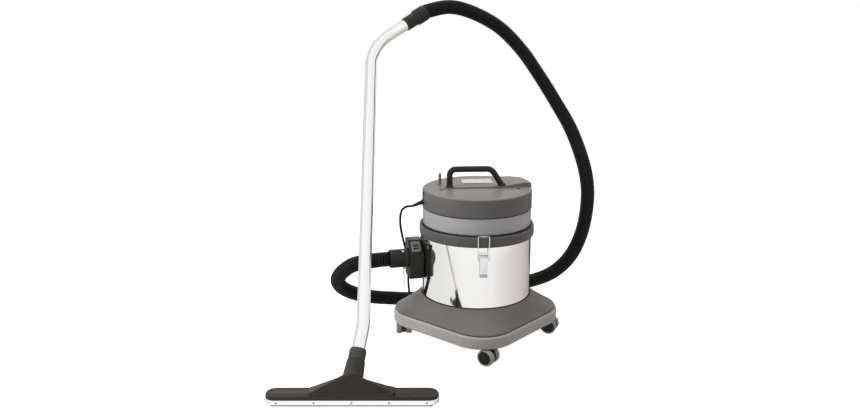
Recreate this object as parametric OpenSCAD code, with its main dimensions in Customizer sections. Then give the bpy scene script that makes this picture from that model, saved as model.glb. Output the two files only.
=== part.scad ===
// Wet-and-dry shop vacuum: steel drum on a castor base, motor head, hose, bent wand and floor tool.
// Millimetres. The origin is on the floor under the drum's axis. +Z is up and -Y is the front,
// where one castor and one toggle latch are. The hose inlet is near -X.

/* [Drum] */
// Outer diameter of the steel drum
drum_d = 330; // [326:1:334]
// Thickness of the drum's sheet steel
drum_wall = 1.5; // [1:0.1:2]
// Height of the drum's floor above the ground
drum_bottom = 72; // [72:1:74]
// Height of the drum's top edge
drum_top = 343; // [342:1:346]

/* [Head] */
// Bottom of the plastic band round the drum's mouth
rim_bottom = 328; // [326:1:330]
// Top of the same band, where the head sits down
rim_top = 359; // [358:1:360]
// Outer diameter of the band
rim_d = 346; // [345:1:348]
// Top of the light ring that carries the motor
ring_top = 412; // [410:1:414]
// Top edge of the dark head cover
cover_top = 466; // [464:1:468]
// Outer diameter of the light ring and the cover
head_d = 328; // [326:1:330]

/* [Base] */
// Width across the flats of the light bumper band
bumper_flats = 418; // [414:1:422]
// Corner radius of the bumper band
bumper_corner = 104; // [100:1:108]
// Height of the bumper's lower edge
bumper_bottom = 52; // [52:1:54]
// Height of the bumper's upper edge
bumper_top = 88; // [86:1:90]
// Height at which the skirt meets the drum
skirt_top = 142; // [138:1:146]

/* [Castors] */
// Distance of each swivel axis from the drum's axis
swivel_radius = 222; // [220:1:224]
// Diameter of a castor wheel
wheel_d = 50; // [48:1:50]
// Distance from the swivel axis to the wheel axis
castor_trail = 14; // [12:1:15]
// Direction in which the front castor trails, from +X
heading_front = -38; // [-180:1:180]
// Direction in which the right castor trails
heading_right = -28; // [-180:1:180]
// Direction in which the rear castor trails
heading_rear = 160; // [-180:1:180]
// Direction in which the left castor trails
heading_left = 90; // [-180:1:180]

/* [Hose and wand] */
// Outer diameter of the hose
hose_d = 46; // [44:1:48]
// Outer diameter of the steel wand
wand_d = 36; // [35:0.5:38]
// Wall of the steel wand
wand_wall = 1.2; // [1:0.1:1.5]
// Length of the wand between its two bends
wand_length = 847; // [840:1:855]
// Lean of the wand from the vertical
wand_lean = 41.7; // [41:0.1:42.5]

/* [Floor tool] */
// Length of the floor tool
tool_length = 450; // [440:1:460]
// Depth of the floor tool, front to back
tool_depth = 56; // [54:1:58]

/* [Mains lead] */
// Diameter of the mains lead
lead_d = 7; // [6:0.5:7.5]

/* [Hidden] */

$fn = 96;
gap = 0.3;
weld_height = 0.3;
drum_r = drum_d / 2;
head_r = head_d / 2;
rim_r = rim_d / 2;

// Colours
dark_plastic = [0.30, 0.30, 0.31];
light_plastic = [0.62, 0.62, 0.63];
bumper_grey = [0.60, 0.58, 0.55];
black_plastic = [0.09, 0.09, 0.10];
bright_steel = [0.82, 0.83, 0.84];
rubber_black = [0.05, 0.05, 0.05];

// ---------------------------------------------------------------- shared shapes

// A square with round corners, built from true arcs.
module rounded_rect(size, r) {
    square([size[0] - 2 * r, size[1]], center = true);
    square([size[0], size[1] - 2 * r], center = true);
    for (x = [-1, 1], y = [-1, 1])
        translate([x * (size[0] / 2 - r), y * (size[1] / 2 - r)]) circle(r);
}

module tube(r_out, r_in, h) {
    difference() {
        cylinder(h = h, r = r_out);
        translate([0, 0, -1]) cylinder(h = h + 2, r = r_in);
    }
}

// The cross-section of a rod, or of a tube where r_in is above zero.
module ring_section(r_out, r_in) {
    difference() {
        circle(r_out);
        if (r_in > 0) circle(r_in);
    }
}

// A quarter-style elbow that starts along +Z at the origin and turns towards +X.
module elbow(angle, bend_r, r_out, r_in) {
    translate([bend_r, 0, 0]) rotate([90, 0, 0]) rotate([0, 0, 180 - angle])
        rotate_extrude(angle = angle) translate([bend_r, 0]) ring_section(r_out, r_in);
}

// A low seam round the bar, where a straight and an elbow join.
module weld(r_out, r_in) {
    translate([0, 0, -2]) linear_extrude(4)
        ring_section(r_out + weld_height, r_in > 0 ? r_in - weld_height : 0);
}

// Straights and elbows end to end. Each step is [straight, angle, bend radius].
// A negative angle turns towards -X.
module bent_tube(steps, r_out, r_in = 0, i = 0) {
    if (i < len(steps)) {
        straight = steps[i][0];
        angle = abs(steps[i][1]);
        side = steps[i][1] < 0 ? 180 : 0;
        bend_r = steps[i][2];
        linear_extrude(straight) ring_section(r_out, r_in);
        if (i > 0) weld(r_out, r_in);
        translate([0, 0, straight]) rotate([0, 0, side]) {
            if (angle > 0) weld(r_out, r_in);
            if (angle > 0) elbow(angle, bend_r, r_out, r_in);
            translate([bend_r * (1 - cos(angle)), 0, bend_r * sin(angle)])
                rotate([0, angle, 0]) rotate([0, 0, -side])
                    bent_tube(steps, r_out, r_in, i + 1);
        }
    }
}

// Sweeping a round cord along its route: each ring faces the mean of its two neighbours.
function unit(v) = v / norm(v);
function heading(route, i) =
    unit(route[min(i + 1, len(route) - 1)] - route[max(i - 1, 0)]);
function across(direction) =
    unit(cross(abs(direction[2]) > 0.9 ? [0, 1, 0] : [0, 0, 1], direction));
function carried(side, direction) = unit(side - (side * direction) * direction);
function ring_sides(route, i = 0, sides = []) =
    i == len(route) ? sides
    : ring_sides(route, i + 1, concat(sides,
        [i == 0 ? across(heading(route, 0)) : carried(sides[i - 1], heading(route, i))]));

module cord(route, r, facets) {
    sides = ring_sides(route);
    last = len(route) - 1;
    points = [for (i = [0:last], k = [0:facets - 1])
        let (along = heading(route, i), side = sides[i], a = 360 * k / facets)
        route[i] + r * (cos(a) * side + sin(a) * cross(along, side))];
    walls = [for (i = [0:last - 1], k = [0:facets - 1])
        let (n = (k + 1) % facets)
        [i * facets + k, (i + 1) * facets + k, (i + 1) * facets + n, i * facets + n]];
    first_cap = [[for (k = [0:facets - 1]) k]];
    last_cap = [[for (k = [0:facets - 1]) last * facets + facets - 1 - k]];
    polyhedron(points, concat(first_cap, walls, last_cap));
}

// ---------------------------------------------------------------- base

plate_bottom = 62;
base_turn = 45;
skirt_wall = 3.5;
plate_flats = bumper_flats - 24;
stem_r = 5.5;

module base_outline(flats, corner) {
    rotate([0, 0, base_turn]) rounded_rect([flats, flats], corner);
}

// The sloping shroud: square with round corners at the bumper, round at the drum.
module skirt_solid(inset) {
    hull() {
        translate([0, 0, bumper_top]) linear_extrude(6)
            base_outline(bumper_flats - 8 - 2 * inset, bumper_corner - 4 - inset, $fn = 32);
        translate([0, 0, skirt_top - 3 - inset]) cylinder(h = 3, r = drum_r + 5 - inset);
    }
}

module base_skirt() {
    color(dark_plastic) difference() {
        skirt_solid(0);
        translate([0, 0, -0.01]) skirt_solid(skirt_wall);
        cylinder(h = 200, r = drum_r + gap);
    }
}

module bumper_band() {
    color(bumper_grey) translate([0, 0, bumper_bottom])
        linear_extrude(bumper_top - bumper_bottom) difference() {
            base_outline(bumper_flats, bumper_corner);
            base_outline(plate_flats + 1, bumper_corner - 12);
        }
}

module at_castors() {
    for (a = [0:90:270]) rotate([0, 0, a]) translate([swivel_radius, 0, 0]) children();
}

module base_plate() {
    color(black_plastic) difference() {
        union() {
            translate([0, 0, plate_bottom]) linear_extrude(drum_bottom - plate_bottom)
                base_outline(plate_flats, bumper_corner - 12);
            at_castors() translate([0, 0, plate_bottom]) cylinder(h = 28, r = 11);
        }
        at_castors() translate([0, 0, plate_bottom - 1]) cylinder(h = 40, r = stem_r + 0.05);
        translate([0, 0, plate_bottom - 1]) cylinder(h = 20, r = 90);
    }
}

// ---------------------------------------------------------------- drum and rim

inlet_turn = 190;
inlet_height = 262;
spigot_r = 28.5;
rivet_r = 1.6;
rivet_heights = [249, 284];

// Local +X points straight out of the drum at the inlet.
module at_inlet() {
    translate([0, 0, inlet_height]) rotate([0, 0, inlet_turn]) children();
}

module along_x(x0, x1, r) {
    translate([x0, 0, 0]) rotate([0, 90, 0]) cylinder(h = x1 - x0, r = r);
}

module latch_rivet_holes() {
    for (turn = [0, 180], z = rivet_heights)
        rotate([0, 0, turn]) translate([0, -drum_r - 10, z]) rotate([-90, 0, 0])
            cylinder(h = 20, r = rivet_r);
}

module drum() {
    color(bright_steel) difference() {
        translate([0, 0, drum_bottom]) cylinder(h = drum_top - drum_bottom, r = drum_r);
        translate([0, 0, drum_bottom + drum_wall]) cylinder(h = 400, r = drum_r - drum_wall);
        at_inlet() along_x(drum_r - 20, drum_r + 10, spigot_r + 0.5);
        latch_rivet_holes();
    }
}

module rim_band() {
    color(dark_plastic) difference() {
        translate([0, 0, rim_bottom]) cylinder(h = rim_top - rim_bottom, r = rim_r);
        translate([0, 0, rim_bottom - 1]) cylinder(h = drum_top - rim_bottom + 1, r = drum_r + 0.2);
        cylinder(h = 400, r = drum_r - 9);
    }
}

module rim_gasket() {
    color(rubber_black) translate([0, 0, rim_top]) tube(head_r - 1.5, drum_r - 8, 3);
}

// ---------------------------------------------------------------- head

gasket_top = rim_top + 3;
handle_y = 8;
bezel_turn = 62;
gland_turn = 187;
gland_height = 432;
gland_tilt = 20;
cover_wall = 4;
step_y = -5;

module head_ring() {
    color(light_plastic) difference() {
        translate([0, 0, gasket_top]) cylinder(h = ring_top - gasket_top, r = head_r);
        translate([0, 0, gasket_top + 6]) cylinder(h = 60, r = head_r - cover_wall);
        cylinder(h = 500, r = 118);
    }
}

// Top line of the raised rear deck, seen from the front: low on the left, humped on the right.
deck_line = [[-head_r, 466], [-110, 467.5], [30, 468.5], [85, 471], [120, 477], [145, 481],
    [head_r, 480]];

// Everything under the deck's top line, down to the height given.
module under_deck(bottom) {
    translate([0, head_r, 0]) rotate([90, 0, 0]) linear_extrude(head_r - step_y)
        polygon(concat([[-head_r, bottom]], deck_line, [[head_r, bottom]]));
}

module at_gland() {
    rotate([0, 0, gland_turn]) translate([head_r - 6, 0, gland_height])
        rotate([0, 90 + gland_tilt, 0]) children();
}

// Local +Z points out of the head's wall at the switch.
module at_switch() {
    rotate([0, 0, bezel_turn]) translate([head_r - 2, 0, 440]) rotate([0, 90, 0]) children();
}

module head_cover() {
    color(dark_plastic) difference() {
        union() {
            translate([0, 0, ring_top]) cylinder(h = cover_top - ring_top, r = head_r);
            intersection() {
                under_deck(cover_top - 5);
                cylinder(h = 600, r = head_r);
            }
        }
        translate([0, 0, ring_top - 1])
            cylinder(h = cover_top - ring_top - cover_wall + 1, r = head_r - cover_wall);
        at_gland() translate([0, 0, -10]) cylinder(h = 30, r = 7);
        at_switch() translate([0, 0, -10]) linear_extrude(30) square([24.6, 17.6], center = true);
        for (x = [-108, 120]) translate([x, -28, cover_top - 3]) cylinder(h = 5, r = 4.5);
        for (x = [-82, 78]) translate([x, handle_y, cover_top - 8]) cylinder(h = 20, r = 3);
    }
}

module head_screws() {
    color(bright_steel) for (x = [-108, 120])
        translate([x, -28, cover_top - 3]) difference() {
            cylinder(h = 2, r = 4.2);
            for (a = [0, 90]) translate([0, 0, 1.6]) rotate([0, 0, a])
                cube([5, 1, 2], center = true);
        }
}

handle_r = 9;

// A bail of plastic bar: upright on the left, sloping on the right.
module handle() {
    color(black_plastic) difference() {
        translate([-82, handle_y, 464]) {
            bent_tube([[39, 90, 18], [94, 57, 25], [57, 0, 0]], handle_r);
            cylinder(h = 9, r = handle_r + 3.5);
            translate([158, 0, 0]) cylinder(h = 14, r = handle_r + 3.5);
        }
        translate([0, 0, 0.1]) under_deck(400);
    }
}

module cable_peg() {
    color(dark_plastic) translate([-108, 52, 467.6]) {
        cylinder(h = 33, r = 4);
        cylinder(h = 2, r = 7);
    }
}

module label_plate() {
    color([0.78, 0.78, 0.76]) translate([8, 76, 469.2]) rotate([0, -0.41, 0])
        linear_extrude(0.6) rounded_rect([92, 58], 4);
}

module strain_relief() {
    color(rubber_black) at_gland() {
        cylinder(h = 8, r = 6.8);
        translate([0, 0, 8]) cylinder(h = 32, r1 = 6.8, r2 = lead_d / 2 + 0.8);
        translate([0, 0, -3]) cylinder(h = 3, r = 8.5);
    }
}

// ---------------------------------------------------------------- switch

rocker_pin_r = 1.5;

module switch_bezel() {
    color(black_plastic) at_switch() difference() {
        union() {
            linear_extrude(6.5) square([24, 17], center = true);
            translate([0, 0, 3.6]) linear_extrude(3) rounded_rect([30, 22], 3);
        }
        translate([0, 0, -1]) linear_extrude(20) square([20, 13], center = true);
        rotate([90, 0, 0]) translate([0, 4, -10]) cylinder(h = 20, r = rocker_pin_r + 0.05);
    }
}

module rocker_switch() {
    color([0.75, 0.12, 0.10]) at_switch() {
        rotate([90, 0, 0]) translate([0, 0, -6]) linear_extrude(12)
            polygon([[-9, 2], [9, 2], [9, 6], [0, 7.5], [-9, 9]]);
        rotate([90, 0, 0]) translate([0, 4, -8]) cylinder(h = 16, r = rocker_pin_r);
    }
}

// ---------------------------------------------------------------- motor, float and filter

shaft_r = 5;
intake_r = 16;

module motor_plate() {
    color(black_plastic) difference() {
        translate([0, 0, gasket_top + 6]) cylinder(h = 4, r = 140);
        cylinder(h = 500, r = intake_r);
    }
}

module motor_seal() {
    color(rubber_black) translate([0, 0, gasket_top + 10]) tube(66, 58, 5);
}

module fan_housing() {
    color(bright_steel) translate([0, 0, gasket_top + 15]) difference() {
        cylinder(h = 30, r = 70);
        translate([0, 0, 2]) cylinder(h = 26, r = 67);
        translate([0, 0, -1]) cylinder(h = 5, r = 24);
        cylinder(h = 60, r = shaft_r + 0.08);
    }
}

module motor_can() {
    color([0.35, 0.36, 0.38]) translate([0, 0, gasket_top + 45]) difference() {
        cylinder(h = 52, r = 48);
        translate([0, 0, 5]) cylinder(h = 42, r = 45);
        translate([0, 0, -1]) cylinder(h = 48, r = shaft_r + 0.08);
        for (a = [0:45:315]) rotate([0, 0, a]) translate([40, 0, 26]) cube([30, 12, 28], center = true);
    }
}

module motor_shaft() {
    color(bright_steel) translate([0, 0, gasket_top + 20]) {
        cylinder(h = 70, r = shaft_r);
        translate([0, 0, 34]) cylinder(h = 30, r = 30);
    }
}

module impeller() {
    color(bright_steel) translate([0, 0, gasket_top + 19]) difference() {
        union() {
            cylinder(h = 1.5, r = 62);
            translate([0, 0, 18]) cylinder(h = 1.5, r = 62);
            cylinder(h = 19.5, r = 11);
            for (a = [0:45:315]) rotate([0, 0, a]) translate([35, 6, 10]) rotate([0, 0, 20])
                cube([46, 1.5, 18], center = true);
        }
        translate([0, 0, 1]) cylinder(h = 30, r = shaft_r);
        translate([0, 0, -1]) tube(24, 11.5, 2.5);
    }
}

module acoustic_foam() {
    color([0.20, 0.20, 0.21]) translate([0, 0, gasket_top + 10]) tube(110, 84, 60);
}

cage_top = gasket_top + 6;

// An open basket under the motor's intake, with three windows.
module float_cage() {
    color(black_plastic) translate([0, 0, cage_top - 74]) difference() {
        union() {
            cylinder(h = 74, r = 30);
            translate([0, 0, 70]) cylinder(h = 4, r = 44);
        }
        translate([0, 0, 3]) cylinder(h = 80, r = 27.5);
        for (a = [0:60:120]) rotate([0, 0, a]) translate([0, 0, 34]) cube([80, 18, 50], center = true);
    }
}

module float_ball() {
    color("white") translate([0, 0, cage_top - 74 + 3 + gap + 20]) sphere(r = 20);
}

// A pleated-cartridge ring round the float cage.
module filter() {
    color([0.85, 0.84, 0.80]) translate([0, 0, cage_top - 130]) difference() {
        cylinder(h = 130, r = 88);
        translate([0, 0, 4]) cylinder(h = 130, r = 62);
    }
}

// ---------------------------------------------------------------- inlet

inlet_x0 = drum_r + 7.5;
inlet_x1 = drum_r + 49;
cuff_start = inlet_x1 + 0.2;
cuff_end = cuff_start + 56;
cuff_r = 28;
cuff_plug_r = 24;
slope_mid = [19, 37];

// A saddle that follows the drum, cut to an outline seen along local X.
module saddle(r_in, r_out, outline) {
    intersection() {
        translate([0, 0, -80]) tube(r_out, r_in, 160);
        translate([120, 0, 0]) rotate([90, 0, 90]) linear_extrude(80) polygon(outline);
    }
}

flange_outline = [[-58, 52], [58, 52], [46, 0], [46, -58], [-46, -58], [-46, 0]];

module inlet_gasket() {
    color(rubber_black) at_inlet() difference() {
        saddle(drum_r + 0.2, drum_r + 2, flange_outline);
        along_x(100, 200, spigot_r + 0.5);
    }
}

module inlet_flange() {
    color(black_plastic) at_inlet() difference() {
        saddle(drum_r + 2.2, drum_r + 6, flange_outline);
        along_x(100, 200, spigot_r + 0.5);
    }
}

// Side view of the inlet box, with its thumb slope towards the front.
module inlet_profile() {
    difference() {
        union() {
            polygon([[-36, -50], [36, -50], [36, 20], [2, 54], [-36, 54]]);
            translate([0, -50]) square([60, 16], center = true);
            for (y = [-28, 28]) translate([y, -50]) circle(8);
        }
        translate([0, -68]) square([90, 20], center = true);
    }
}

module at_slope() {
    translate([(inlet_x0 + inlet_x1) / 2, slope_mid[0], slope_mid[1]]) rotate([-45, 0, 0]) children();
}

module inlet_body() {
    color(black_plastic) at_inlet() difference() {
        union() {
            translate([inlet_x0, 0, 0]) rotate([90, 0, 90])
                linear_extrude(inlet_x1 - inlet_x0) inlet_profile();
            along_x(drum_r - 6, inlet_x0 + 1, spigot_r);
        }
        along_x(100, 300, cuff_plug_r + 0.2);
        at_slope() translate([0, 0, -9]) linear_extrude(20) square([28.6, 36.6], center = true);
    }
}

module inlet_button() {
    color(dark_plastic) at_inlet() at_slope() difference() {
        translate([0, 0, -5.5]) linear_extrude(9.5) rounded_rect([28, 36], 5);
        translate([0, 3, 1]) linear_extrude(10) rounded_rect([16, 20], 3);
    }
}

// A scoop inside the drum that turns the incoming air downwards.
module inlet_deflector() {
    scoop = [[160, 36], [128, 36], [108, 12], [108, -34], [160, -34]];
    roof = [[160, 36], [128, 36], [108, 12], [108, -34], [110, -34], [110, 11], [129, 34], [160, 34]];
    color(black_plastic) at_inlet() {
        for (y = [-33, 31]) translate([0, y + 2, 0]) rotate([90, 0, 0]) linear_extrude(2) polygon(scoop);
        rotate([90, 0, 0]) translate([0, 0, -33]) linear_extrude(66) polygon(roof);
        difference() {
            saddle(drum_r - 3.7, drum_r - 1.7, flange_outline);
            along_x(100, 200, spigot_r + 0.5);
        }
    }
}

module inlet_screws() {
    color(bright_steel) at_inlet() for (side = [-1, 1], row = [[17, 43], [14.2, -52]])
        rotate([0, 0, side * row[0]]) translate([0, 0, row[1]]) {
            along_x(drum_r + 6, drum_r + 8, 3.6);
            along_x(drum_r - 4, drum_r + 6, 1.7);
        }
}

eye_x = cuff_start + 12;
eye_z = -cuff_r - 4;

// Radius against distance along the cuff's axis: spigot, shoulder ring, sleeve.
cuff_profile = [[20, drum_r - 2], [cuff_plug_r, drum_r - 2], [cuff_plug_r, cuff_start],
    [cuff_r + 1.5, cuff_start], [cuff_r + 1.5, cuff_start + 7], [cuff_r, cuff_start + 7],
    [cuff_r, cuff_end], [20, cuff_end]];

module inlet_cuff() {
    color(black_plastic) at_inlet() {
        rotate([0, 90, 0]) rotate_extrude() polygon(cuff_profile);
        translate([eye_x, 0, eye_z]) rotate([90, 0, 0]) translate([0, 0, -1]) difference() {
            translate([0, 1, 0]) cylinder(h = 2, r = 4);
            translate([0, 0, -1]) cylinder(h = 4, r = 1.9);
        }
    }
}

// The bright screw on the front of the cuff's top.
module cuff_screw() {
    color(bright_steel) at_inlet() translate([cuff_start + 17, 0, 0]) rotate([-26, 0, 0]) {
        translate([0, 0, cuff_r - 5]) cylinder(h = 5.1, r = 1.7, $fn = 32);
        translate([0, 0, cuff_r + 0.05]) cylinder(h = 1.8, r = 3.6, $fn = 32);
    }
}

chain_pitch = 8;
chain_links = 7;
chain_wire = 0.7;

// One oval link hanging from local zero, in the XZ plane.
module chain_link() {
    for (x = [-1, 1]) translate([x * 2, 0, -7.6]) cylinder(h = 6, r = chain_wire, $fn = 24);
    for (end = [[-1.6, 0], [-7.6, 180]]) translate([0, 0, end[0]]) rotate([90, end[1], 0])
        rotate_extrude(angle = 180, $fn = 24) translate([2, 0]) circle(chain_wire, $fn = 24);
}

module inlet_chain() {
    color(bright_steel) at_inlet() translate([eye_x, 0, eye_z - 1])
        for (i = [0:chain_links - 1]) translate([0, 0, -i * chain_pitch])
            rotate([0, 0, 90 * ((i + 1) % 2)]) chain_link();
}

// ---------------------------------------------------------------- hose and wand

hose_route = [[-266, -47, 262], [-300, -49, 260], [-345, -34, 249], [-381, -9, 231],
    [-414, 35, 193], [-428, 82, 153], [-418, 128, 114], [-385, 170, 79], [-330, 199, 54],
    [-266, 213, 42], [-178, 234, 30], [-88, 275, 24], [-5, 319, 24], [80, 346, 24],
    [160, 338, 35], [232, 301, 61], [294, 250, 107], [342, 206, 177], [374, 191, 262],
    [393, 208, 350], [399, 244, 425], [390, 297, 500], [364, 363, 588], [320, 410, 672],
    [270, 444, 755], [206, 459, 845], [128, 455, 921], [37, 433, 970], [-48, 392, 991],
    [-128, 341, 978], [-150, 331, 965.5]];

wand_foot = [-354, -398, 128];
wand_turn = -2.9;
wand_roll = -2;
lower_bend = 9;
upper_bend = 52;
lower_bend_r = 120;
upper_bend_r = 144;
wand_lead_in = 60;
wand_lead_out = 70;
wand_in_cuff = 25;
wand_r = wand_d / 2;

module hose() {
    color(rubber_black) cord(hose_route, hose_d / 2, 12);
}

// Local +Z runs up the lower end of the wand.
module at_wand_foot() {
    translate(wand_foot) rotate([0, 0, wand_turn]) rotate([-wand_lean, 0, 0])
        rotate([0, 0, wand_roll]) rotate([0, lower_bend, 0]) children();
}

// Follows the wand's bends to its top end.
module at_wand_top() {
    at_wand_foot() translate([-lower_bend_r * (1 - cos(lower_bend)), 0,
            wand_lead_in + lower_bend_r * sin(lower_bend)])
        rotate([0, -lower_bend, 0]) translate([upper_bend_r * (1 - cos(upper_bend)), 0,
                wand_length + upper_bend_r * sin(upper_bend)])
            rotate([0, upper_bend, 0]) translate([0, 0, wand_lead_out]) children();
}

module wand() {
    color(bright_steel) at_wand_foot() translate([0, 0, -30])
        bent_tube([[wand_lead_in + 30, -lower_bend, lower_bend_r],
            [wand_length, upper_bend, upper_bend_r], [wand_lead_out + wand_in_cuff, 0, 0]],
            wand_r, wand_r - wand_wall);
}

// Radius against distance along the axis: a narrow sleeve on the wand, a wide one round the hose.
wand_cuff_profile = [[wand_r + 0.2, -6], [wand_r + 3.4, -6], [wand_r + 3.4, 34], [25.4, 38], [25.4, 76],
    [hose_d / 2 + 0.2, 76], [hose_d / 2 + 0.2, 56.8], [wand_r - 2, 56.8],
    [wand_r - 2, wand_in_cuff + 0.2], [wand_r + 0.2, wand_in_cuff + 0.2]];

module wand_cuff() {
    color(black_plastic) at_wand_top() rotate_extrude() polygon(wand_cuff_profile);
}

// ---------------------------------------------------------------- floor tool

tool_turn = -3.7;
tool_centre = [-371, -438, 0];
band_bottom = 6;
band_top = 19;
shell_top = 31;
neck_r = 23;
neck_foot = -74;
housing_y = -5;

module at_tool() {
    translate(tool_centre) rotate([0, 0, tool_turn]) children();
}

module tool_outline(inset) {
    rounded_rect([tool_length - 2 * inset, tool_depth - 2 * inset], tool_depth / 2 - inset - 0.01);
}

// The raised centre of the tool: upright feet, then flanks that slope up to the round neck.
module tool_housing(inset) {
    hull() {
        translate([0, housing_y, 24]) linear_extrude(14 - inset)
            rounded_rect([222 - 2 * inset, 42 - 2 * inset], 8 - inset);
        translate([6, 5, 56 - inset]) rotate([-30, 0, 0]) cylinder(h = 8, r = 27 - inset, $fn = 24);
    }
}

module tool_body() {
    color(black_plastic) difference() {
        union() {
            at_tool() translate([0, 0, band_top]) linear_extrude(shell_top - band_top) tool_outline(1.5);
            at_tool() translate([0, 0, band_bottom]) linear_extrude(band_top - band_bottom)
                tool_outline(3);
            at_tool() tool_housing(0);
            at_wand_foot() translate([0, 0, neck_foot]) cylinder(h = 46, r1 = neck_r + 4.5, r2 = neck_r);
        }
        at_tool() translate([0, 0, -1]) linear_extrude(25) rounded_rect([tool_length - 30, 26], 8);
        at_tool() tool_housing(4);
        at_wand_foot() translate([0, 0, neck_foot - 10]) cylinder(h = 80, r = wand_r + 0.3);
    }
}

// The ribbed collar that grips the wand.
module tool_neck() {
    color(black_plastic) at_wand_foot() translate([0, 0, -27.8]) difference() {
        union() {
            cylinder(h = 30, r = 21.6);
            for (a = [0:15:345]) rotate([0, 0, a]) translate([21.2, 0, 14]) cube([2, 2.4, 28], center = true);
        }
        translate([0, 0, -1]) cylinder(h = 40, r = wand_r + 0.05);
    }
}

module tool_band() {
    color(bright_steel) at_tool() translate([0, 0, band_bottom]) linear_extrude(band_top - band_bottom)
        difference() {
            tool_outline(0);
            tool_outline(2.8);
        }
}

// Front and rear rubber lips either side of the suction slot.
module tool_lips() {
    color(rubber_black) at_tool() for (y = [-1, 1]) translate([0, y * 18.5, 0])
        linear_extrude(band_bottom) rounded_rect([tool_length - 34, 5], 2);
}

module tool_screws() {
    color(bright_steel) at_tool() for (y = [-1, 1], i = [-2:2])
        translate([i * tool_length * 0.214, y * (tool_depth / 2 - 6), band_bottom + 6.5])
            rotate([-y * 90, 0, 0]) {
                cylinder(h = 6, r = 1.5, $fn = 24);
                translate([0, 0, 6]) cylinder(h = 1.2, r = 3, $fn = 32);
            }
}

// ---------------------------------------------------------------- castors

wheel_r = wheel_d / 2;
wheel_width = 17;
wheel_gap = 14;
axle_r = 3;
hood_top = 50.5;

castor_place = [-90, 0, 90, 180];
castor_heading = [heading_front, heading_right, heading_rear, heading_left];

// Local +X is the way the castor trails; the wheels turn about local Y.
module at_castor(i) {
    rotate([0, 0, castor_place[i]]) translate([swivel_radius, 0, 0])
        rotate([0, 0, castor_heading[i] - castor_place[i]]) children();
}

module along_y(y0, y1, r) {
    translate([0, y0, 0]) rotate([-90, 0, 0]) cylinder(h = y1 - y0, r = r);
}

module castor_hood(i) {
    color(black_plastic) at_castor(i) difference() {
        union() {
            translate([castor_trail, 0, wheel_r])
                along_y(-wheel_gap / 2 + gap, wheel_gap / 2 - gap, wheel_r - 3);
            translate([0, 0, 30]) cylinder(h = hood_top - 30, r = wheel_gap / 2 - 1);
            translate([0, 0, 40]) cylinder(h = 46, r = stem_r);
            translate([0, 0, hood_top]) cylinder(h = plate_bottom - hood_top - gap, r = 9);
        }
        translate([castor_trail, 0, wheel_r]) along_y(-20, 20, axle_r + 0.05);
    }
}

// Two wheels pressed on one axle.
module castor_wheels(i) {
    color(light_plastic) at_castor(i) translate([castor_trail, 0, wheel_r]) {
        for (side = [0, 180]) rotate([0, 0, side]) difference() {
            along_y(wheel_gap / 2, wheel_gap / 2 + wheel_width, wheel_r);
            along_y(wheel_gap / 2 + wheel_width - 3, wheel_gap / 2 + wheel_width + 1, wheel_r - 5);
        }
        along_y(-wheel_gap / 2 - 2, wheel_gap / 2 + 2, axle_r);
    }
}

module castor_hood_front() { castor_hood(0); }
module castor_hood_right() { castor_hood(1); }
module castor_hood_rear() { castor_hood(2); }
module castor_hood_left() { castor_hood(3); }
module castor_wheels_front() { castor_wheels(0); }
module castor_wheels_right() { castor_wheels(1); }
module castor_wheels_rear() { castor_wheels(2); }
module castor_wheels_left() { castor_wheels(3); }

// ---------------------------------------------------------------- toggle latches

hinge_y = -drum_r - 7.5;
hinge_z = 302;
bail_y = -drum_r - 10.5;
bail_z = 292;
bail_half = 16;
wire_r = 1.5;

module across_x(half, r) {
    translate([-half, 0, 0]) rotate([0, 90, 0]) cylinder(h = 2 * half, r = r);
}

// The plate riveted to the drum, with two ears and the hinge pin between them.
module latch_bracket(turn) {
    color(bright_steel) rotate([0, 0, turn]) difference() {
        union() {
            translate([-12, -drum_r - 2.2, 240]) cube([24, 1.7, 74]);
            for (x = [-13, 11]) translate([x, hinge_y - 3.5, hinge_z - 5])
                cube([2, 9.5, 10]);
            translate([-13, -drum_r - 2.2, hinge_z - 5]) cube([26, 1.7, 10]);
            translate([0, hinge_y, hinge_z]) across_x(12, 1.5);
        }
        latch_rivet_holes();
    }
}

module latch_lever(turn) {
    color(bright_steel) rotate([0, 0, turn]) difference() {
        union() {
            translate([0, hinge_y, hinge_z]) across_x(10.5, 3.2);
            translate([0, bail_y, bail_z]) across_x(10.5, 3);
            translate([-10.5, bail_y - 3, bail_z]) cube([21, 4, hinge_z - bail_z]);
            translate([-11, bail_y - 5, 243]) cube([22, 2, 57]);
            for (z = [256, 266]) translate([0, bail_y - 6, z]) rotate([-90, 0, 0])
                cylinder(h = 2, r = 2.6);
        }
        translate([0, hinge_y, hinge_z]) across_x(30, 1.55);
        translate([0, bail_y, bail_z]) across_x(30, wire_r + 0.05);
    }
}

// A bent wire: two legs from the lever up to a crossbar that hooks over the rim band.
module latch_bail(turn) {
    corner = 4;
    rise = rim_top + 2 - bail_z - corner;
    color(bright_steel) rotate([0, 0, turn]) for (side = [-1, 1]) {
        translate([side * 5, bail_y, bail_z]) rotate([0, side * 90, 0])
            cylinder(h = bail_half - 5, r = wire_r, $fn = 32);
        translate([side * bail_half, bail_y, bail_z]) {
            sphere(r = wire_r, $fn = 32);
            cylinder(h = rise, r = wire_r, $fn = 32);
            translate([0, 0, rise]) rotate([0, 0, 90]) elbow(90, corner, wire_r, 0, $fn = 32);
            translate([0, corner, rise + corner]) rotate([-90, 0, 0]) cylinder(h = 2.5, r = wire_r, $fn = 32);
            translate([0, corner + 2.5, rise + corner]) {
                sphere(r = wire_r, $fn = 32);
                rotate([0, -side * 90, 0]) cylinder(h = bail_half, r = wire_r, $fn = 32);
            }
        }
    }
}

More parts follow.
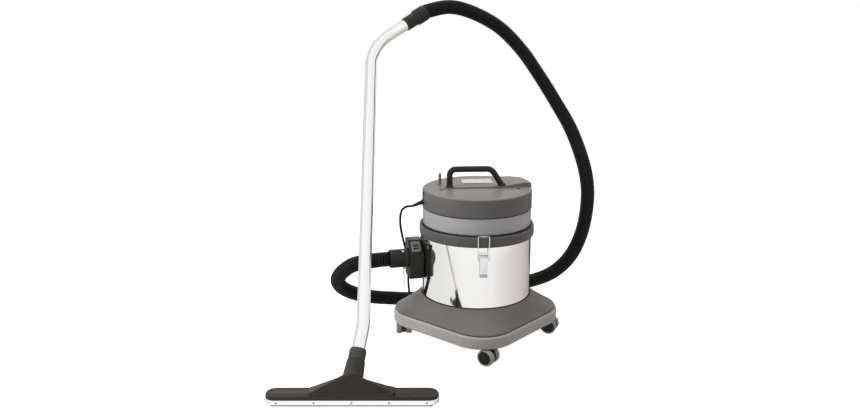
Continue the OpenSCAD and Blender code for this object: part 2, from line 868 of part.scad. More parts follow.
module latch_rivets() {
    color(bright_steel) for (turn = [0, 180], z = rivet_heights)
        rotate([0, 0, turn]) translate([0, 0, z]) rotate([90, 0, 0]) {
            translate([0, 0, drum_r - 3]) cylinder(h = 5.2, r = rivet_r - 0.02);
            translate([0, 0, drum_r + 2.2]) cylinder(h = 1.2, r = 3);
            translate([0, 0, drum_r - 3]) cylinder(h = 1.2, r = 3);
        }
}

module latch_bracket_front() { latch_bracket(0); }
module latch_bracket_rear() { latch_bracket(180); }
module latch_lever_front() { latch_lever(0); }
module latch_lever_rear() { latch_lever(180); }
module latch_bail_front() { latch_bail(0); }
module latch_bail_rear() { latch_bail(180); }

// ---------------------------------------------------------------- mains lead

lead_route = [[-196, -24, 418], [-213, -26, 417], [-226, -25, 407], [-231, -22, 390],
    [-232, -17, 368], [-230, -10, 346], [-226, -2, 322], [-221, 6, 298], [-216, 14, 275],
    [-212, 21, 252], [-209, 29, 229], [-207, 37, 206], [-206, 50, 183], [-206, 63, 160],
    [-205, 77, 137], [-203, 91, 114], [-200, 104, 91], [-196, 117, 68], [-191, 130, 46],
    [-184, 143, 26], [-174, 156, 11], [-160, 169, 4], [-142, 182, 4], [-124, 195, 4],
    [-106, 209, 4], [-90, 224, 4], [-76, 241, 4], [-62, 257, 4], [-45, 270, 4],
    [-24, 279, 4], [0, 285, 4], [25, 290, 4], [50, 295, 4], [73, 300, 4], [90, 301, 4]];
coil_centre = [115, 250, 0];
coil_mid_r = 42;
coil_width = 36;
coil_height = 28;
// From the coil's top turn down to the plug.
tail_route = [[165, 271, 24.5], [170, 260, 24.5], [175, 249, 23], [180, 237, 18], [185, 225, 13.4],
    [189.5, 214.2, 12]];
plug_turn = 23;

module mains_lead() {
    color(rubber_black) {
        cord(lead_route, lead_d / 2, 8);
        cord(tail_route, lead_d / 2, 8);
    }
}

module lead_coil() {
    color(rubber_black) translate(coil_centre) rotate_extrude()
        translate([coil_mid_r, coil_height / 2]) rounded_rect([coil_width, coil_height], 8);
}

// A two-pin plug lying flat, its pins pointing away from the lead.
module lead_plug() {
    color(rubber_black) translate(tail_route[len(tail_route) - 1]) rotate([90, 0, plug_turn]) {
        cylinder(h = 24, r1 = lead_d / 2 + 0.8, r2 = 6.5);
        translate([0, 0, 24]) linear_extrude(40) rounded_rect([36, 22], 8);
        color(bright_steel) for (x = [-9.5, 9.5]) translate([x, 0, 64]) cylinder(h = 19, r = 2.4);
    }
}

// ---------------------------------------------------------------- all nodes

base_skirt();
bumper_band();
base_plate();
drum();
rim_band();
rim_gasket();
head_ring();
head_cover();
head_screws();
handle();
cable_peg();
label_plate();
strain_relief();
switch_bezel();
rocker_switch();
motor_plate();
motor_can();
fan_housing();
motor_seal();
motor_shaft();
impeller();
acoustic_foam();
float_cage();
float_ball();
filter();
inlet_flange();
inlet_gasket();
inlet_body();
inlet_deflector();
inlet_screws();
inlet_button();
inlet_cuff();
inlet_chain();
hose();
wand_cuff();
cuff_screw();
wand();
tool_body();
tool_neck();
tool_band();
tool_lips();
tool_screws();
castor_hood_front();
castor_hood_right();
castor_hood_rear();
castor_hood_left();
castor_wheels_front();
castor_wheels_right();
castor_wheels_rear();
castor_wheels_left();
latch_bracket_front();
latch_bracket_rear();
latch_lever_front();
latch_lever_rear();
latch_bail_front();
latch_bail_rear();
latch_rivets();
mains_lead();
lead_coil();
lead_plug();
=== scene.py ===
"""Shop vacuum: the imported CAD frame, dressed with detailed pieces and procedural materials.

Everything is in metres in the CAD model's frame: origin on the floor under the drum, +Z up, -Y front.
"""
import math

import bmesh
import bpy
from mathutils import Matrix, Vector


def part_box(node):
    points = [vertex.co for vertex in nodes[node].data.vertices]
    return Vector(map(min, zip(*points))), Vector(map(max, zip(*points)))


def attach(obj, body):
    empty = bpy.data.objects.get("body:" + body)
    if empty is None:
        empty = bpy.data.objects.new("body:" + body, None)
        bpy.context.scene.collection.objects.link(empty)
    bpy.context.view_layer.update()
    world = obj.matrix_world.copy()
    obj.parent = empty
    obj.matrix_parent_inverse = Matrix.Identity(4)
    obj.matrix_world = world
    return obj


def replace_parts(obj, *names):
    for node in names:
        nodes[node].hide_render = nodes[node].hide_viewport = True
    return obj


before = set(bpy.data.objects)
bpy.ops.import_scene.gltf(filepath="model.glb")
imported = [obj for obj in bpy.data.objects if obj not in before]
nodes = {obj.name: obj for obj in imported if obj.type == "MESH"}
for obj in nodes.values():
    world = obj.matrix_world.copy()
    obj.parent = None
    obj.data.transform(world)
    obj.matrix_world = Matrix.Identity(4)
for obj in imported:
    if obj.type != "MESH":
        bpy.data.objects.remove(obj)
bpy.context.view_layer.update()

MM = 0.001


def mm(*values):
    """A point given in millimetres."""
    return Vector(values) * MM


# ---------------------------------------------------------------- camera, light and floor

CAMERA_AT = Vector((-0.2938, -2.3555, 1.0001))
CAMERA_TURN = math.radians(3.7)
CAMERA_DIP = math.radians(13.94)
LENS_MM = 33.87
AMBIENT = 0.27
FLOOR_GLOW = 0.93


def make_camera():
    camera = bpy.data.objects.new("camera", bpy.data.cameras.new("camera"))
    bpy.context.scene.collection.objects.link(camera)
    camera.data.lens = LENS_MM
    camera.data.sensor_width = 36
    camera.data.clip_end = 50
    camera.location = CAMERA_AT
    camera.rotation_euler = (math.pi / 2 - CAMERA_DIP, 0, -CAMERA_TURN)
    bpy.context.scene.camera = camera


def soft_light(name, location, target, size, power, tint=(1, 1, 1)):
    light = bpy.data.lights.new(name, "AREA")
    light.shape = "RECTANGLE"
    light.size, light.size_y = size
    light.energy = power
    light.color = tint
    lamp = bpy.data.objects.new(name, light)
    bpy.context.scene.collection.objects.link(lamp)
    lamp.location = location
    lamp.visible_glossy = False
    aim = Vector(target) - Vector(location)
    lamp.rotation_euler = aim.to_track_quat("-Z", "Y").to_euler()


def azimuth_ramp(tree, share, stops):
    """Colours round the horizon: 0 and 1 are the front, 0.25 the left, 0.5 the back, 0.75 the right."""
    ramp = tree.nodes.new("ShaderNodeValToRGB")
    tree.links.new(share, ramp.inputs["Fac"])
    elements = ramp.color_ramp.elements
    elements[0].position, elements[0].color = 0.0, (*stops[0][1], 1)
    elements[1].position, elements[1].color = 1.0, (*stops[-1][1], 1)
    for place, shade in stops[1:-1]:
        elements.new(place).color = (*shade, 1)
    return ramp.outputs["Color"]


def make_world():
    """What the polished steel sees is a bright room with dark strips. Its soft light is dimmer, and
    the camera sees white."""
    world = bpy.data.worlds.new("studio")
    bpy.context.scene.world = world
    world.use_nodes = True
    tree = world.node_tree
    new, link = tree.nodes.new, tree.links.new
    way, split, turn, share = (new("ShaderNodeTexCoord"), new("ShaderNodeSeparateXYZ"),
                               new("ShaderNodeMath"), new("ShaderNodeMapRange"))
    turn.operation = "ARCTAN2"
    share.inputs["From Min"].default_value = -math.pi
    share.inputs["From Max"].default_value = math.pi
    link(way.outputs["Generated"], split.inputs[0])
    link(split.outputs["X"], turn.inputs[0])
    link(split.outputs["Y"], turn.inputs[1])
    link(turn.outputs[0], share.inputs["Value"])
    dark = (0.02, 0.02, 0.02)
    low = [(0.0, (0.97, 0.965, 0.96)), (0.083, (0.98, 0.975, 0.97)), (0.233, (0.86, 0.86, 0.85)),
           (0.415, (0.84, 0.83, 0.82)), (0.43, dark), (0.455, dark), (0.47, (0.85, 0.84, 0.83)),
           (0.545, (0.80, 0.78, 0.77)), (0.556, dark), (0.583, dark), (0.597, (0.38, 0.34, 0.32)),
           (0.66, (0.52, 0.48, 0.46)), (0.722, (0.66, 0.61, 0.59)), (0.85, (0.80, 0.76, 0.73)),
           (0.92, (0.93, 0.92, 0.91)), (1.0, (0.97, 0.965, 0.96))]
    white = (1.0, 1.0, 1.0)
    high = [(0.0, white), (0.26, white), (0.30, (0.72, 0.71, 0.70)), (0.40, (0.80, 0.80, 0.79)),
            (0.60, white), (0.650, white), (0.660, dark), (0.684, dark), (0.694, (0.9, 0.9, 0.9)),
            (1.0, white)]
    height = new("ShaderNodeMapRange")
    height.inputs["From Min"].default_value = -0.04
    height.inputs["From Max"].default_value = 0.06
    link(split.outputs["Z"], height.inputs["Value"])
    room = new("ShaderNodeMix")
    room.data_type = "RGBA"
    link(height.outputs[0], room.inputs["Factor"])
    link(azimuth_ramp(tree, share.outputs[0], low), room.inputs["A"])
    link(azimuth_ramp(tree, share.outputs[0], high), room.inputs["B"])

    rays = new("ShaderNodeLightPath")
    soft = tree.nodes["Background"]
    soft.inputs["Color"].default_value = (0.97, 0.98, 1.0, 1)
    soft.inputs["Strength"].default_value = AMBIENT
    mirror, open_white = new("ShaderNodeBackground"), new("ShaderNodeBackground")
    link(room.outputs["Result"], mirror.inputs["Color"])
    open_white.inputs["Color"].default_value = (*white, 1)
    first, last = new("ShaderNodeMixShader"), new("ShaderNodeMixShader")
    link(rays.outputs["Is Glossy Ray"], first.inputs[0])
    link(soft.outputs[0], first.inputs[1])
    link(mirror.outputs[0], first.inputs[2])
    link(rays.outputs["Is Camera Ray"], last.inputs[0])
    link(first.outputs[0], last.inputs[1])
    link(open_white.outputs[0], last.inputs[2])
    link(last.outputs[0], tree.nodes["World Output"].inputs["Surface"])


def make_studio():
    """Soft boxes on the left, the right and overhead, over a pale floor."""
    make_world()
    soft_light("key", (-2.6, -0.9, 1.3), (0, 0, 0.3), (2.2, 2.0), 92)
    soft_light("fill", (2.5, -1.0, 1.2), (0, 0, 0.3), (1.4, 2.0), 30, (1, 0.97, 0.95))
    soft_light("top", (-0.3, 0.2, 3.2), (-0.1, 0, 0), (2.6, 2.6), 88)

    bpy.ops.mesh.primitive_plane_add(size=60)
    floor = bpy.context.object
    floor.name = "floor"
    paint = material("floor_white", (0.34, 0.34, 0.34), rough=0.9, mottle=0.01, specular=0.0)
    glow = paint.node_tree.nodes["Principled BSDF"]
    glow.inputs["Emission Color"].default_value = (1, 1, 1, 1)
    glow.inputs["Emission Strength"].default_value = FLOOR_GLOW
    floor.data.materials.append(paint)
    # the floor lights nothing, so the steel and the undersides see only the room
    floor.visible_glossy = False
    floor.visible_diffuse = False
    bpy.context.scene.view_settings.view_transform = "Standard"


# ---------------------------------------------------------------- materials

made = {}


def material(name, colour, rough=0.5, metal=0.0, mottle=0.08, mottle_size=0.06, grain=0.0,
             grain_size=0.0006, rough_vary=0.08, coat=0.0, dust_and_top_light=0.0, streak=0.0, specular=0.5):
    """A surface in object metres: cloudy colour, uneven gloss, moulded grain, a lighter tone on top faces
    (dust, and painted light from above) and fine upright brush streaks, each as strong as asked."""
    if name in made:
        return made[name]
    shader = bpy.data.materials.new(name)
    shader.use_nodes = True
    tree = shader.node_tree
    new, link = tree.nodes.new, tree.links.new
    skin = tree.nodes["Principled BSDF"]
    skin.inputs["Metallic"].default_value = metal
    skin.inputs["Coat Weight"].default_value = coat
    skin.inputs["Coat Roughness"].default_value = 0.12
    skin.inputs["Specular IOR Level"].default_value = specular
    place = new("ShaderNodeTexCoord")

    def noise(size, detail=3.0, stretch=None):
        source = new("ShaderNodeTexNoise")
        source.inputs["Scale"].default_value = 1 / size
        source.inputs["Detail"].default_value = detail
        if stretch:
            squeeze = new("ShaderNodeMapping")
            squeeze.inputs["Scale"].default_value = stretch
            link(place.outputs["Object"], squeeze.inputs["Vector"])
            link(squeeze.outputs["Vector"], source.inputs["Vector"])
        else:
            link(place.outputs["Object"], source.inputs["Vector"])
        return source.outputs["Fac"]

    cloud = new("ShaderNodeMix")
    cloud.data_type = "RGBA"
    link(noise(mottle_size), cloud.inputs["Factor"])
    cloud.inputs["A"].default_value = (*[c * (1 - mottle) for c in colour], 1)
    cloud.inputs["B"].default_value = (*[min(1, c * (1 + mottle)) for c in colour], 1)
    colour_out = cloud.outputs["Result"]
    # upward faces are mixed towards a light grey: partly dust, partly painted light that makes top faces
    # lighter
    if dust_and_top_light:
        facing = new("ShaderNodeNewGeometry")
        up = new("ShaderNodeSeparateXYZ")
        link(facing.outputs["Normal"], up.inputs[0])
        amount = new("ShaderNodeMapRange")
        amount.inputs["From Min"].default_value = 0.2
        amount.inputs["From Max"].default_value = 1.0
        amount.inputs["To Max"].default_value = dust_and_top_light
        link(up.outputs["Z"], amount.inputs["Value"])
        dust_and_top_light_mix = new("ShaderNodeMix")
        dust_and_top_light_mix.data_type = "RGBA"
        dust_and_top_light_mix.inputs["B"].default_value = (0.42, 0.40, 0.37, 1)
        link(amount.outputs[0], dust_and_top_light_mix.inputs["Factor"])
        link(colour_out, dust_and_top_light_mix.inputs["A"])
        colour_out = dust_and_top_light_mix.outputs["Result"]
    link(colour_out, skin.inputs["Base Color"])

    gloss = new("ShaderNodeMapRange")
    gloss.inputs["To Min"].default_value = max(0.02, rough - rough_vary)
    gloss.inputs["To Max"].default_value = min(1, rough + rough_vary)
    link(noise(mottle_size / 3, 5.0), gloss.inputs["Value"])
    link(gloss.outputs[0], skin.inputs["Roughness"])

    if grain or streak:
        bump = new("ShaderNodeBump")
        bump.inputs["Strength"].default_value = max(grain, streak)
        bump.inputs["Distance"].default_value = 0.0002
        stretch = (1, 1, 0.02) if streak else None
        link(noise(grain_size, 2.0, stretch), bump.inputs["Height"])
        link(bump.outputs["Normal"], skin.inputs["Normal"])
    made[name] = shader
    return shader


def dark_plastic():
    return material("dark_plastic", (0.098, 0.092, 0.090), rough=0.40, grain=0.35, dust_and_top_light=0.12, mottle=0.05,
                    specular=0.35)


def band_plastic():
    return material("band_plastic", (0.088, 0.082, 0.079), rough=0.42, grain=0.35, dust_and_top_light=0.06, mottle=0.06,
                    specular=0.3)


def skirt_plastic():
    return material("skirt_plastic", (0.104, 0.096, 0.092), rough=0.44, grain=0.4, dust_and_top_light=0.06, mottle=0.05,
                    specular=0.35)


def light_plastic():
    return material("light_plastic", (0.33, 0.325, 0.33), rough=0.34, grain=0.2, mottle=0.03, coat=0.1)


def bumper_plastic():
    return material("bumper_plastic", (0.325, 0.308, 0.295), rough=0.5, grain=0.5, mottle=0.08,
                    mottle_size=0.02)


def black_plastic():
    return material("black_plastic", (0.015, 0.0135, 0.012), rough=0.36, grain=0.4, dust_and_top_light=0.01,
                    specular=0.25)


def tool_plastic():
    return material("tool_plastic", (0.025, 0.0215, 0.019), rough=0.38, grain=0.5, specular=0.3)


def handle_plastic():
    return material("handle_plastic", (0.009, 0.0085, 0.008), rough=0.28, grain=0.1, specular=0.3)


def hose_crest():
    return material("hose_plastic", (0.0065, 0.006, 0.0055), rough=0.36, mottle=0.2, mottle_size=0.02,
                    specular=0.16)


# a darker copy of the hose plastic for the groove rings: painted shade in the grooves
def hose_groove_painted_shade():
    return material("hose_groove_painted_shade", (0.0035, 0.0032, 0.003), rough=0.7, mottle=0.2, mottle_size=0.02,
                    specular=0.05)


def rubber():
    return material("soft_rubber", (0.011, 0.0105, 0.010), rough=0.60, grain=0.3, mottle=0.15, specular=0.25)


def tyre_rubber():
    return material("tyre_rubber", (0.27, 0.262, 0.25), rough=0.6, grain=0.4, mottle=0.1, mottle_size=0.01)


def polished_steel():
    return material("polished_steel", (0.905, 0.90, 0.895), rough=0.075, metal=1, rough_vary=0.025,
                    mottle=0.012, streak=0.012, grain_size=0.0015)


def chrome():
    return material("chrome_plate", (0.93, 0.93, 0.925), rough=0.06, metal=1, rough_vary=0.02, mottle=0.02)


def bright_steel():
    return material("bright_steel", (0.80, 0.80, 0.80), rough=0.22, metal=1, rough_vary=0.08, mottle=0.05,
                    mottle_size=0.01, grain=0.2, grain_size=0.001)


def cast_metal():
    return material("cast_metal", (0.45, 0.45, 0.46), rough=0.4, metal=1, grain=0.5, mottle=0.08)


# ---------------------------------------------------------------- mesh building

def finish_mesh(name, build, paint, body, crease=32):
    """Turns a bmesh into a piece that rides on a body, with sharp edges kept where the surface turns."""
    bmesh.ops.remove_doubles(build, verts=build.verts, dist=1e-6)
    bmesh.ops.recalc_face_normals(build, faces=build.faces)
    mesh = bpy.data.meshes.new(name)
    build.to_mesh(mesh)
    build.free()
    mesh.polygons.foreach_set("use_smooth", [True] * len(mesh.polygons))
    mesh.set_sharp_from_angle(angle=math.radians(crease))
    mesh.materials.append(paint)
    piece = bpy.data.objects.new(name, mesh)
    bpy.context.scene.collection.objects.link(piece)
    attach(piece, body)
    return piece


def skin_rings(build, rings, wrap=False, caps=True):
    """Joins rings of equal count with quads. wrap joins the last ring to the first."""
    rows = [[build.verts.new(p) for p in ring] for ring in rings]
    count = len(rows[0])
    pairs = list(zip(rows, rows[1:]))
    if wrap:
        pairs.append((rows[-1], rows[0]))
    for a, b in pairs:
        for i in range(count):
            j = (i + 1) % count
            build.faces.new((a[i], a[j], b[j], b[i]))
    if caps and not wrap:
        build.faces.new(list(reversed(rows[0])))
        build.faces.new(rows[-1])


def loft(name, rings, paint, body, wrap=False, caps=True, crease=32):
    build = bmesh.new()
    skin_rings(build, rings, wrap, caps)
    return finish_mesh(name, build, paint, body, crease)


def fillet(outline, radius, steps=4):
    """Rounds every corner of a closed outline of 2D points."""
    rounded = []
    count = len(outline)
    for i in range(count):
        corner = Vector(outline[i])
        before = Vector(outline[i - 1]) - corner
        after = Vector(outline[(i + 1) % count]) - corner
        half = before.angle(after) / 2
        reach = min(radius / math.tan(half), 0.45 * before.length, 0.45 * after.length)
        start = corner + before.normalized() * reach
        end = corner + after.normalized() * reach
        for k in range(steps + 1):
            t = k / steps
            rounded.append((1 - t) ** 2 * start + 2 * t * (1 - t) * corner + t * t * end)
    return rounded


def lathe(name, profile, paint, body, place=None, segments=96, crease=32):
    """Turns a closed outline of (radius, height) about local Z, then puts it in place."""
    place = place or Matrix.Identity(4)
    rings = []
    for k in range(segments):
        a = 2 * math.pi * k / segments
        rings.append([place @ Vector((max(0, p[0]) * math.cos(a), max(0, p[0]) * math.sin(a), p[1]))
                      for p in profile])
    return loft(name, rings, paint, body, wrap=True, crease=crease)


def even_steps(line, step):
    """The same line, as points an even distance apart."""
    travelled = [0.0]
    for a, b in zip(line, line[1:]):
        travelled.append(travelled[-1] + (b - a).length)
    count = max(1, round(travelled[-1] / step))
    even = []
    i = 0
    for k in range(count + 1):
        goal = travelled[-1] * k / count
        while i < len(line) - 2 and travelled[i + 1] < goal:
            i += 1
        t = (goal - travelled[i]) / (travelled[i + 1] - travelled[i])
        even.append(line[i].lerp(line[i + 1], min(1, t)))
    return even


def smooth_route(points, step):
    """A smooth curve through the points, sampled at even distances."""
    points = [Vector(p) for p in points]
    ghosts = [2 * points[0] - points[1], *points, 2 * points[-1] - points[-2]]
    line = []
    for a, b, c, d in zip(ghosts, ghosts[1:], ghosts[2:], ghosts[3:]):
        for k in range(12):
            t = k / 12
            line.append(0.5 * (2 * b + (c - a) * t + (2 * a - 5 * b + 4 * c - d) * t * t
                               + (3 * b - a - 3 * c + d) * t ** 3))
    line.append(points[-1])
    return even_steps(line, step)


def swept(name, line, radius_at, paint, body, sides=20, crease=60):
    """A round bar along a line. radius_at gives its radius at a distance from the start."""
    side = None
    rings = []
    travelled = 0.0
    for i, point in enumerate(line):
        ahead = (line[min(i + 1, len(line) - 1)] - line[max(i - 1, 0)]).normalized()
        if side is None:
            side = ahead.orthogonal().normalized()
        side = (side - side.dot(ahead) * ahead).normalized()
        other = ahead.cross(side)
        if i:
            travelled += (point - line[i - 1]).length
        r = radius_at(travelled)
        rings.append([point + r * (math.cos(a) * side + math.sin(a) * other)
                      for a in (2 * math.pi * k / sides for k in range(sides))])
    return loft(name, rings, paint, body, crease=crease)


def block(name, outline, low, high, edge, paint, body, place=None, steps=3):
    """An outline of 2D points raised from low to high, with rounded top and bottom edges."""
    place = place or Matrix.Identity(4)
    middle = Vector((sum(p[0] for p in outline), sum(p[1] for p in outline))) / len(outline)
    rings = []

    def ring(inset, height):
        points = []
        count = len(outline)
        for i in range(count):
            here = Vector(outline[i])
            along = (Vector(outline[(i + 1) % count]) - Vector(outline[i - 1])).normalized()
            inward = Vector((-along.y, along.x))
            if inward.dot(middle - here) < 0:
                inward = -inward
            flat = here + inward * inset
            points.append(place @ Vector((flat.x, flat.y, height)))
        rings.append(points)

    for k in range(steps + 1):
        a = math.pi / 2 * k / steps
        ring(edge * (1 - math.sin(a)), low + edge * (1 - math.cos(a)))
    for k in range(steps, -1, -1):
        a = math.pi / 2 * k / steps
        ring(edge * (1 - math.sin(a)), high - edge * (1 - math.cos(a)))
    return loft(name, rings, paint, body)


def rounded_rect(width, depth, corner, steps=6):
    points = []
    for turn, sx, sy in ((0, 1, 1), (1, -1, 1), (2, -1, -1), (3, 1, -1)):
        for k in range(steps + 1):
            a = math.pi / 2 * (turn + k / steps)
            points.append(Vector((sx * (width / 2 - corner) + corner * math.cos(a),
                                  sy * (depth / 2 - corner) + corner * math.sin(a))))
    return points


def placed(location, *turns):
    """A place: moved to location, then turned by (degrees, axis) pairs in order."""
    place = Matrix.Translation(location)
    for degrees, axis in turns:
        place = place @ Matrix.Rotation(math.radians(degrees), 4, axis)
    return place


def keep_node(name, paint, edge=0.0006):
    """Keeps a CAD node's shape, rounds its sharp edges a little and gives it a material."""
    node = nodes[name]
    node.data.materials.clear()
    node.data.materials.append(paint)
    weld = node.modifiers.new("weld", "WELD")
    weld.merge_threshold = 1e-6
    if edge:
        bevel = node.modifiers.new("edge", "BEVEL")
        bevel.width = edge
        bevel.segments = 2
        bevel.limit_method = "ANGLE"
        bevel.angle_limit = math.radians(40)
        bevel.harden_normals = True
    node.data.polygons.foreach_set("use_smooth", [True] * len(node.data.polygons))
    return node


# ---------------------------------------------------------------- cords

HOSE_ROUTE = [
    (-266, -47, 262), (-300, -49, 260), (-345, -34, 249), (-381, -9, 231), (-414, 35, 193),
    (-428, 82, 153), (-418, 128, 114), (-385, 170, 79), (-330, 199, 54), (-266, 213, 42),
    (-178, 234, 30), (-88, 275, 24), (-5, 319, 24), (80, 346, 24), (160, 338, 35), (232, 301, 61),
    (294, 250, 107), (342, 206, 177), (374, 191, 262), (393, 208, 350), (399, 244, 425),
    (390, 297, 500), (364, 363, 588), (320, 410, 672), (270, 444, 755), (206, 459, 845),
    (128, 455, 921), (37, 433, 970), (-48, 392, 991), (-128, 341, 978), (-150, 331, 965.5)]
HOSE_R = 0.023
RIB_PITCH = 0.0065
RIB_DEPTH = 0.0026
RIB_STEPS = 8

LEAD_ROUTE = [
    (-196, -24, 418), (-213, -26, 417), (-226, -25, 407), (-231, -22, 390), (-232, -17, 368),
    (-230, -10, 346), (-226, -2, 322), (-221, 6, 298), (-216, 14, 275), (-212, 21, 252),
    (-209, 29, 229), (-207, 37, 206), (-206, 50, 183), (-206, 63, 160), (-205, 77, 137),
    (-203, 91, 114), (-200, 104, 91), (-196, 117, 68), (-191, 130, 46), (-184, 143, 26),
    (-174, 156, 11), (-160, 169, 4), (-142, 182, 4), (-124, 195, 4), (-106, 209, 4), (-90, 224, 4),
    (-76, 241, 4), (-62, 257, 4), (-45, 270, 4), (-24, 279, 4), (0, 285, 4), (25, 290, 4),
    (50, 295, 4), (73, 300, 4), (90, 301, 4)]
LEAD_R = 0.0035
COIL_AT = mm(115, 250, 0)
COIL_OUTER = 0.0564
COIL_STEP = 0.0072
COIL_COLUMNS = 4
COIL_LAYERS = 4
COIL_START = math.radians(113)
COIL_END_STEPS = 6
TAIL_ROUTE = [(170, 260, 24.8), (175, 249, 23), (180, 237, 18), (185, 225, 13.4), (189.5, 214.2, 12)]
PLUG_AT = mm(*TAIL_ROUTE[-1])
PLUG_TURN = 23


def hose_radius(distance):
    """Rounded ribs with narrow grooves between them."""
    wave = abs(math.sin(math.pi * distance / RIB_PITCH))
    return HOSE_R - RIB_DEPTH * (1 - wave ** 0.8)


def make_hose():
    line = smooth_route([mm(*p) for p in HOSE_ROUTE], RIB_PITCH / RIB_STEPS)
    sides = 28
    hose = swept("corrugated_hose", line, hose_radius, hose_crest(), "vacuum", sides)
    # the rings at each groove's bottom take the darker copy: painted shade between the ribs
    hose.data.materials.append(hose_groove_painted_shade())
    for face in hose.data.polygons:
        ring = face.vertices[0] // sides
        face.material_index = 1 if ring % RIB_STEPS in (0, RIB_STEPS - 1) else 0
    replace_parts(hose, "hose")


def coil_turns():
    """Flat spirals, in and out by turns, one on top of another, wound clockwise from above."""
    turns = []
    angle = COIL_START
    height = LEAD_R + 0.0001
    radius = COIL_OUTER
    samples = 24

    def add(steps, radius_step, height_step):
        nonlocal angle, height, radius
        for _ in range(steps):
            angle -= 2 * math.pi / samples
            radius += radius_step
            height += height_step
            turns.append(COIL_AT + Vector((radius * math.cos(angle), radius * math.sin(angle), height)))

    for layer in range(COIL_LAYERS):
        way = -1 if layer % 2 == 0 else 1
        top = layer == COIL_LAYERS - 1
        add(COIL_COLUMNS * samples - (COIL_END_STEPS if top else 0), way * COIL_STEP / samples, 0)
        if not top:
            add(samples // 2, 0, COIL_STEP / (samples // 2))
    return turns


def make_lead():
    coil = coil_turns()
    # the lead starts a little inside the strain relief
    route = [gland_place() @ Vector((0, 0, 0.033)), *[mm(*p) for p in LEAD_ROUTE[:-1]]]
    line = smooth_route([*route, *coil, *[mm(*p) for p in TAIL_ROUTE]], 0.0045)
    lead = swept("supply_lead", line, lambda s: LEAD_R, rubber(), "vacuum", sides=12)
    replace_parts(lead, "mains_lead", "lead_coil")
    plug = make_plug()
    tie = make_coil_tie()


def make_coil_tie():
    """A strap round the coil's section, at its far side."""
    place = placed(COIL_AT, (35, "Z")) @ placed((0.042, 0, 0.0145), (90, "X"))
    outside = rounded_rect(0.041, 0.0284, 0.009)
    inside = rounded_rect(0.0386, 0.0262, 0.008)
    build_rings = []
    for outline, z in ((outside, -0.007), (outside, 0.007), (inside, 0.007), (inside, -0.007)):
        build_rings.append([place @ Vector((p.x, p.y, z)) for p in outline])
    return loft("coil_tie", build_rings, material("tie_fabric", (0.03, 0.03, 0.032), rough=0.9, grain=0.6),
                "vacuum", wrap=True)


def make_plug():
    """A moulded two-pin plug with a ribbed tail; its pins point away from the lead."""
    place = placed(PLUG_AT, (PLUG_TURN, "Z"), (90, "X"))
    sections = []
    for z, w, d, c in ((0.024, 0.013, 0.013, 0.0064), (0.027, 0.024, 0.016, 0.007),
                       (0.032, 0.032, 0.020, 0.008), (0.040, 0.036, 0.022, 0.008),
                       (0.052, 0.034, 0.020, 0.008), (0.060, 0.036, 0.022, 0.008),
                       (0.063, 0.036, 0.022, 0.008), (0.064, 0.034, 0.020, 0.007)):
        sections.append([place @ Vector((p.x, p.y, z)) for p in rounded_rect(w, d, c)])
    body = loft("plug_moulding", sections, rubber(), "vacuum")
    profile = [(0.0034, 0.0), (0.0046, 0.0)]
    for k in range(5):
        z = 0.0015 + k * 0.0044
        r = 0.0050 + k * 0.0004
        profile += [(r, z), (r, z + 0.0028), (r - 0.0012, z + 0.0030), (r - 0.0012, z + 0.0042)]
    profile += [(0.0064, 0.0245), (0.0034, 0.0245)]
    tail = lathe("plug_tail", profile, rubber(), "vacuum", place, 32)
    pins = []
    for side in (-1, 1):
        pin = [(0, 0.062), (0.0024, 0.062), (0.0024, 0.0815), (0.0014, 0.083), (0, 0.083)]
        pins.append(lathe(f"plug_pin_{'ab'[side > 0]}", pin, bright_steel(), "vacuum",
                          place @ Matrix.Translation((side * 0.0095, 0, 0)), 24))
    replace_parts(body, "lead_plug")
    return [body, tail, *pins]


# ---------------------------------------------------------------- drum, rim and base

DRUM_LOW, DRUM_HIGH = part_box("drum")
DRUM_R = (DRUM_HIGH.x - DRUM_LOW.x) / 2
RING_LOW, RING_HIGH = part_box("head_ring")
HEAD_R = (RING_HIGH.x - RING_LOW.x) / 2
RIM_LOW, RIM_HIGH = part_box("rim_band")
RIM_R = (RIM_HIGH.x - RIM_LOW.x) / 2
COVER_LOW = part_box("head_cover")[0]
SKIRT_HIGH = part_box("base_skirt")[1]
BUMPER_LOW, BUMPER_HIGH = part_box("bumper_band")
BUMPER_APOTHEM = 0.209
BUMPER_CORNER = 0.104
ROUND_STEPS = 192


def make_drum():
    """Thin polished shell with a rolled foot and a rolled lip."""
    low, high = DRUM_LOW.z, DRUM_HIGH.z
    wall = 0.0015
    outline = [(0, low), (DRUM_R - 0.003, low), (DRUM_R, low + 0.003), (DRUM_R, high - 0.002),
               (DRUM_R - 0.0008, high), (DRUM_R - wall, high - 0.001), (DRUM_R - wall, low + 0.004),
               (DRUM_R - 0.004, low + wall), (0, low + wall)]
    drum = lathe("drum_shell", outline, polished_steel(), "vacuum", segments=ROUND_STEPS)
    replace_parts(drum, "drum")


def make_rim():
    low, high = RIM_LOW.z, RIM_HIGH.z
    inner = DRUM_R + 0.0003
    outline = fillet([(inner, low), (RIM_R - 0.0015, low), (RIM_R, low + 0.005), (RIM_R, high - 0.004),
                      (RIM_R - 0.0012, high), (RIM_R - 0.0045, high), (RIM_R - 0.0045, high - 0.002),
                      (inner, high - 0.002)], 0.001, 3)
    band = lathe("rim_band_moulding", outline, band_plastic(), "vacuum",
                 segments=ROUND_STEPS)
    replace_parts(band, "rim_band")
    seal = fillet([(DRUM_R - 0.008, high - 0.002), (DRUM_R - 0.0005, high - 0.002),
                   (DRUM_R + 0.0005, high), (DRUM_R - 0.0015, high + 0.003),
                   (DRUM_R - 0.008, high + 0.003)], 0.0008, 2)
    gasket = lathe("rim_seal", seal, rubber(), "vacuum", segments=ROUND_STEPS)
    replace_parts(gasket, "rim_gasket")


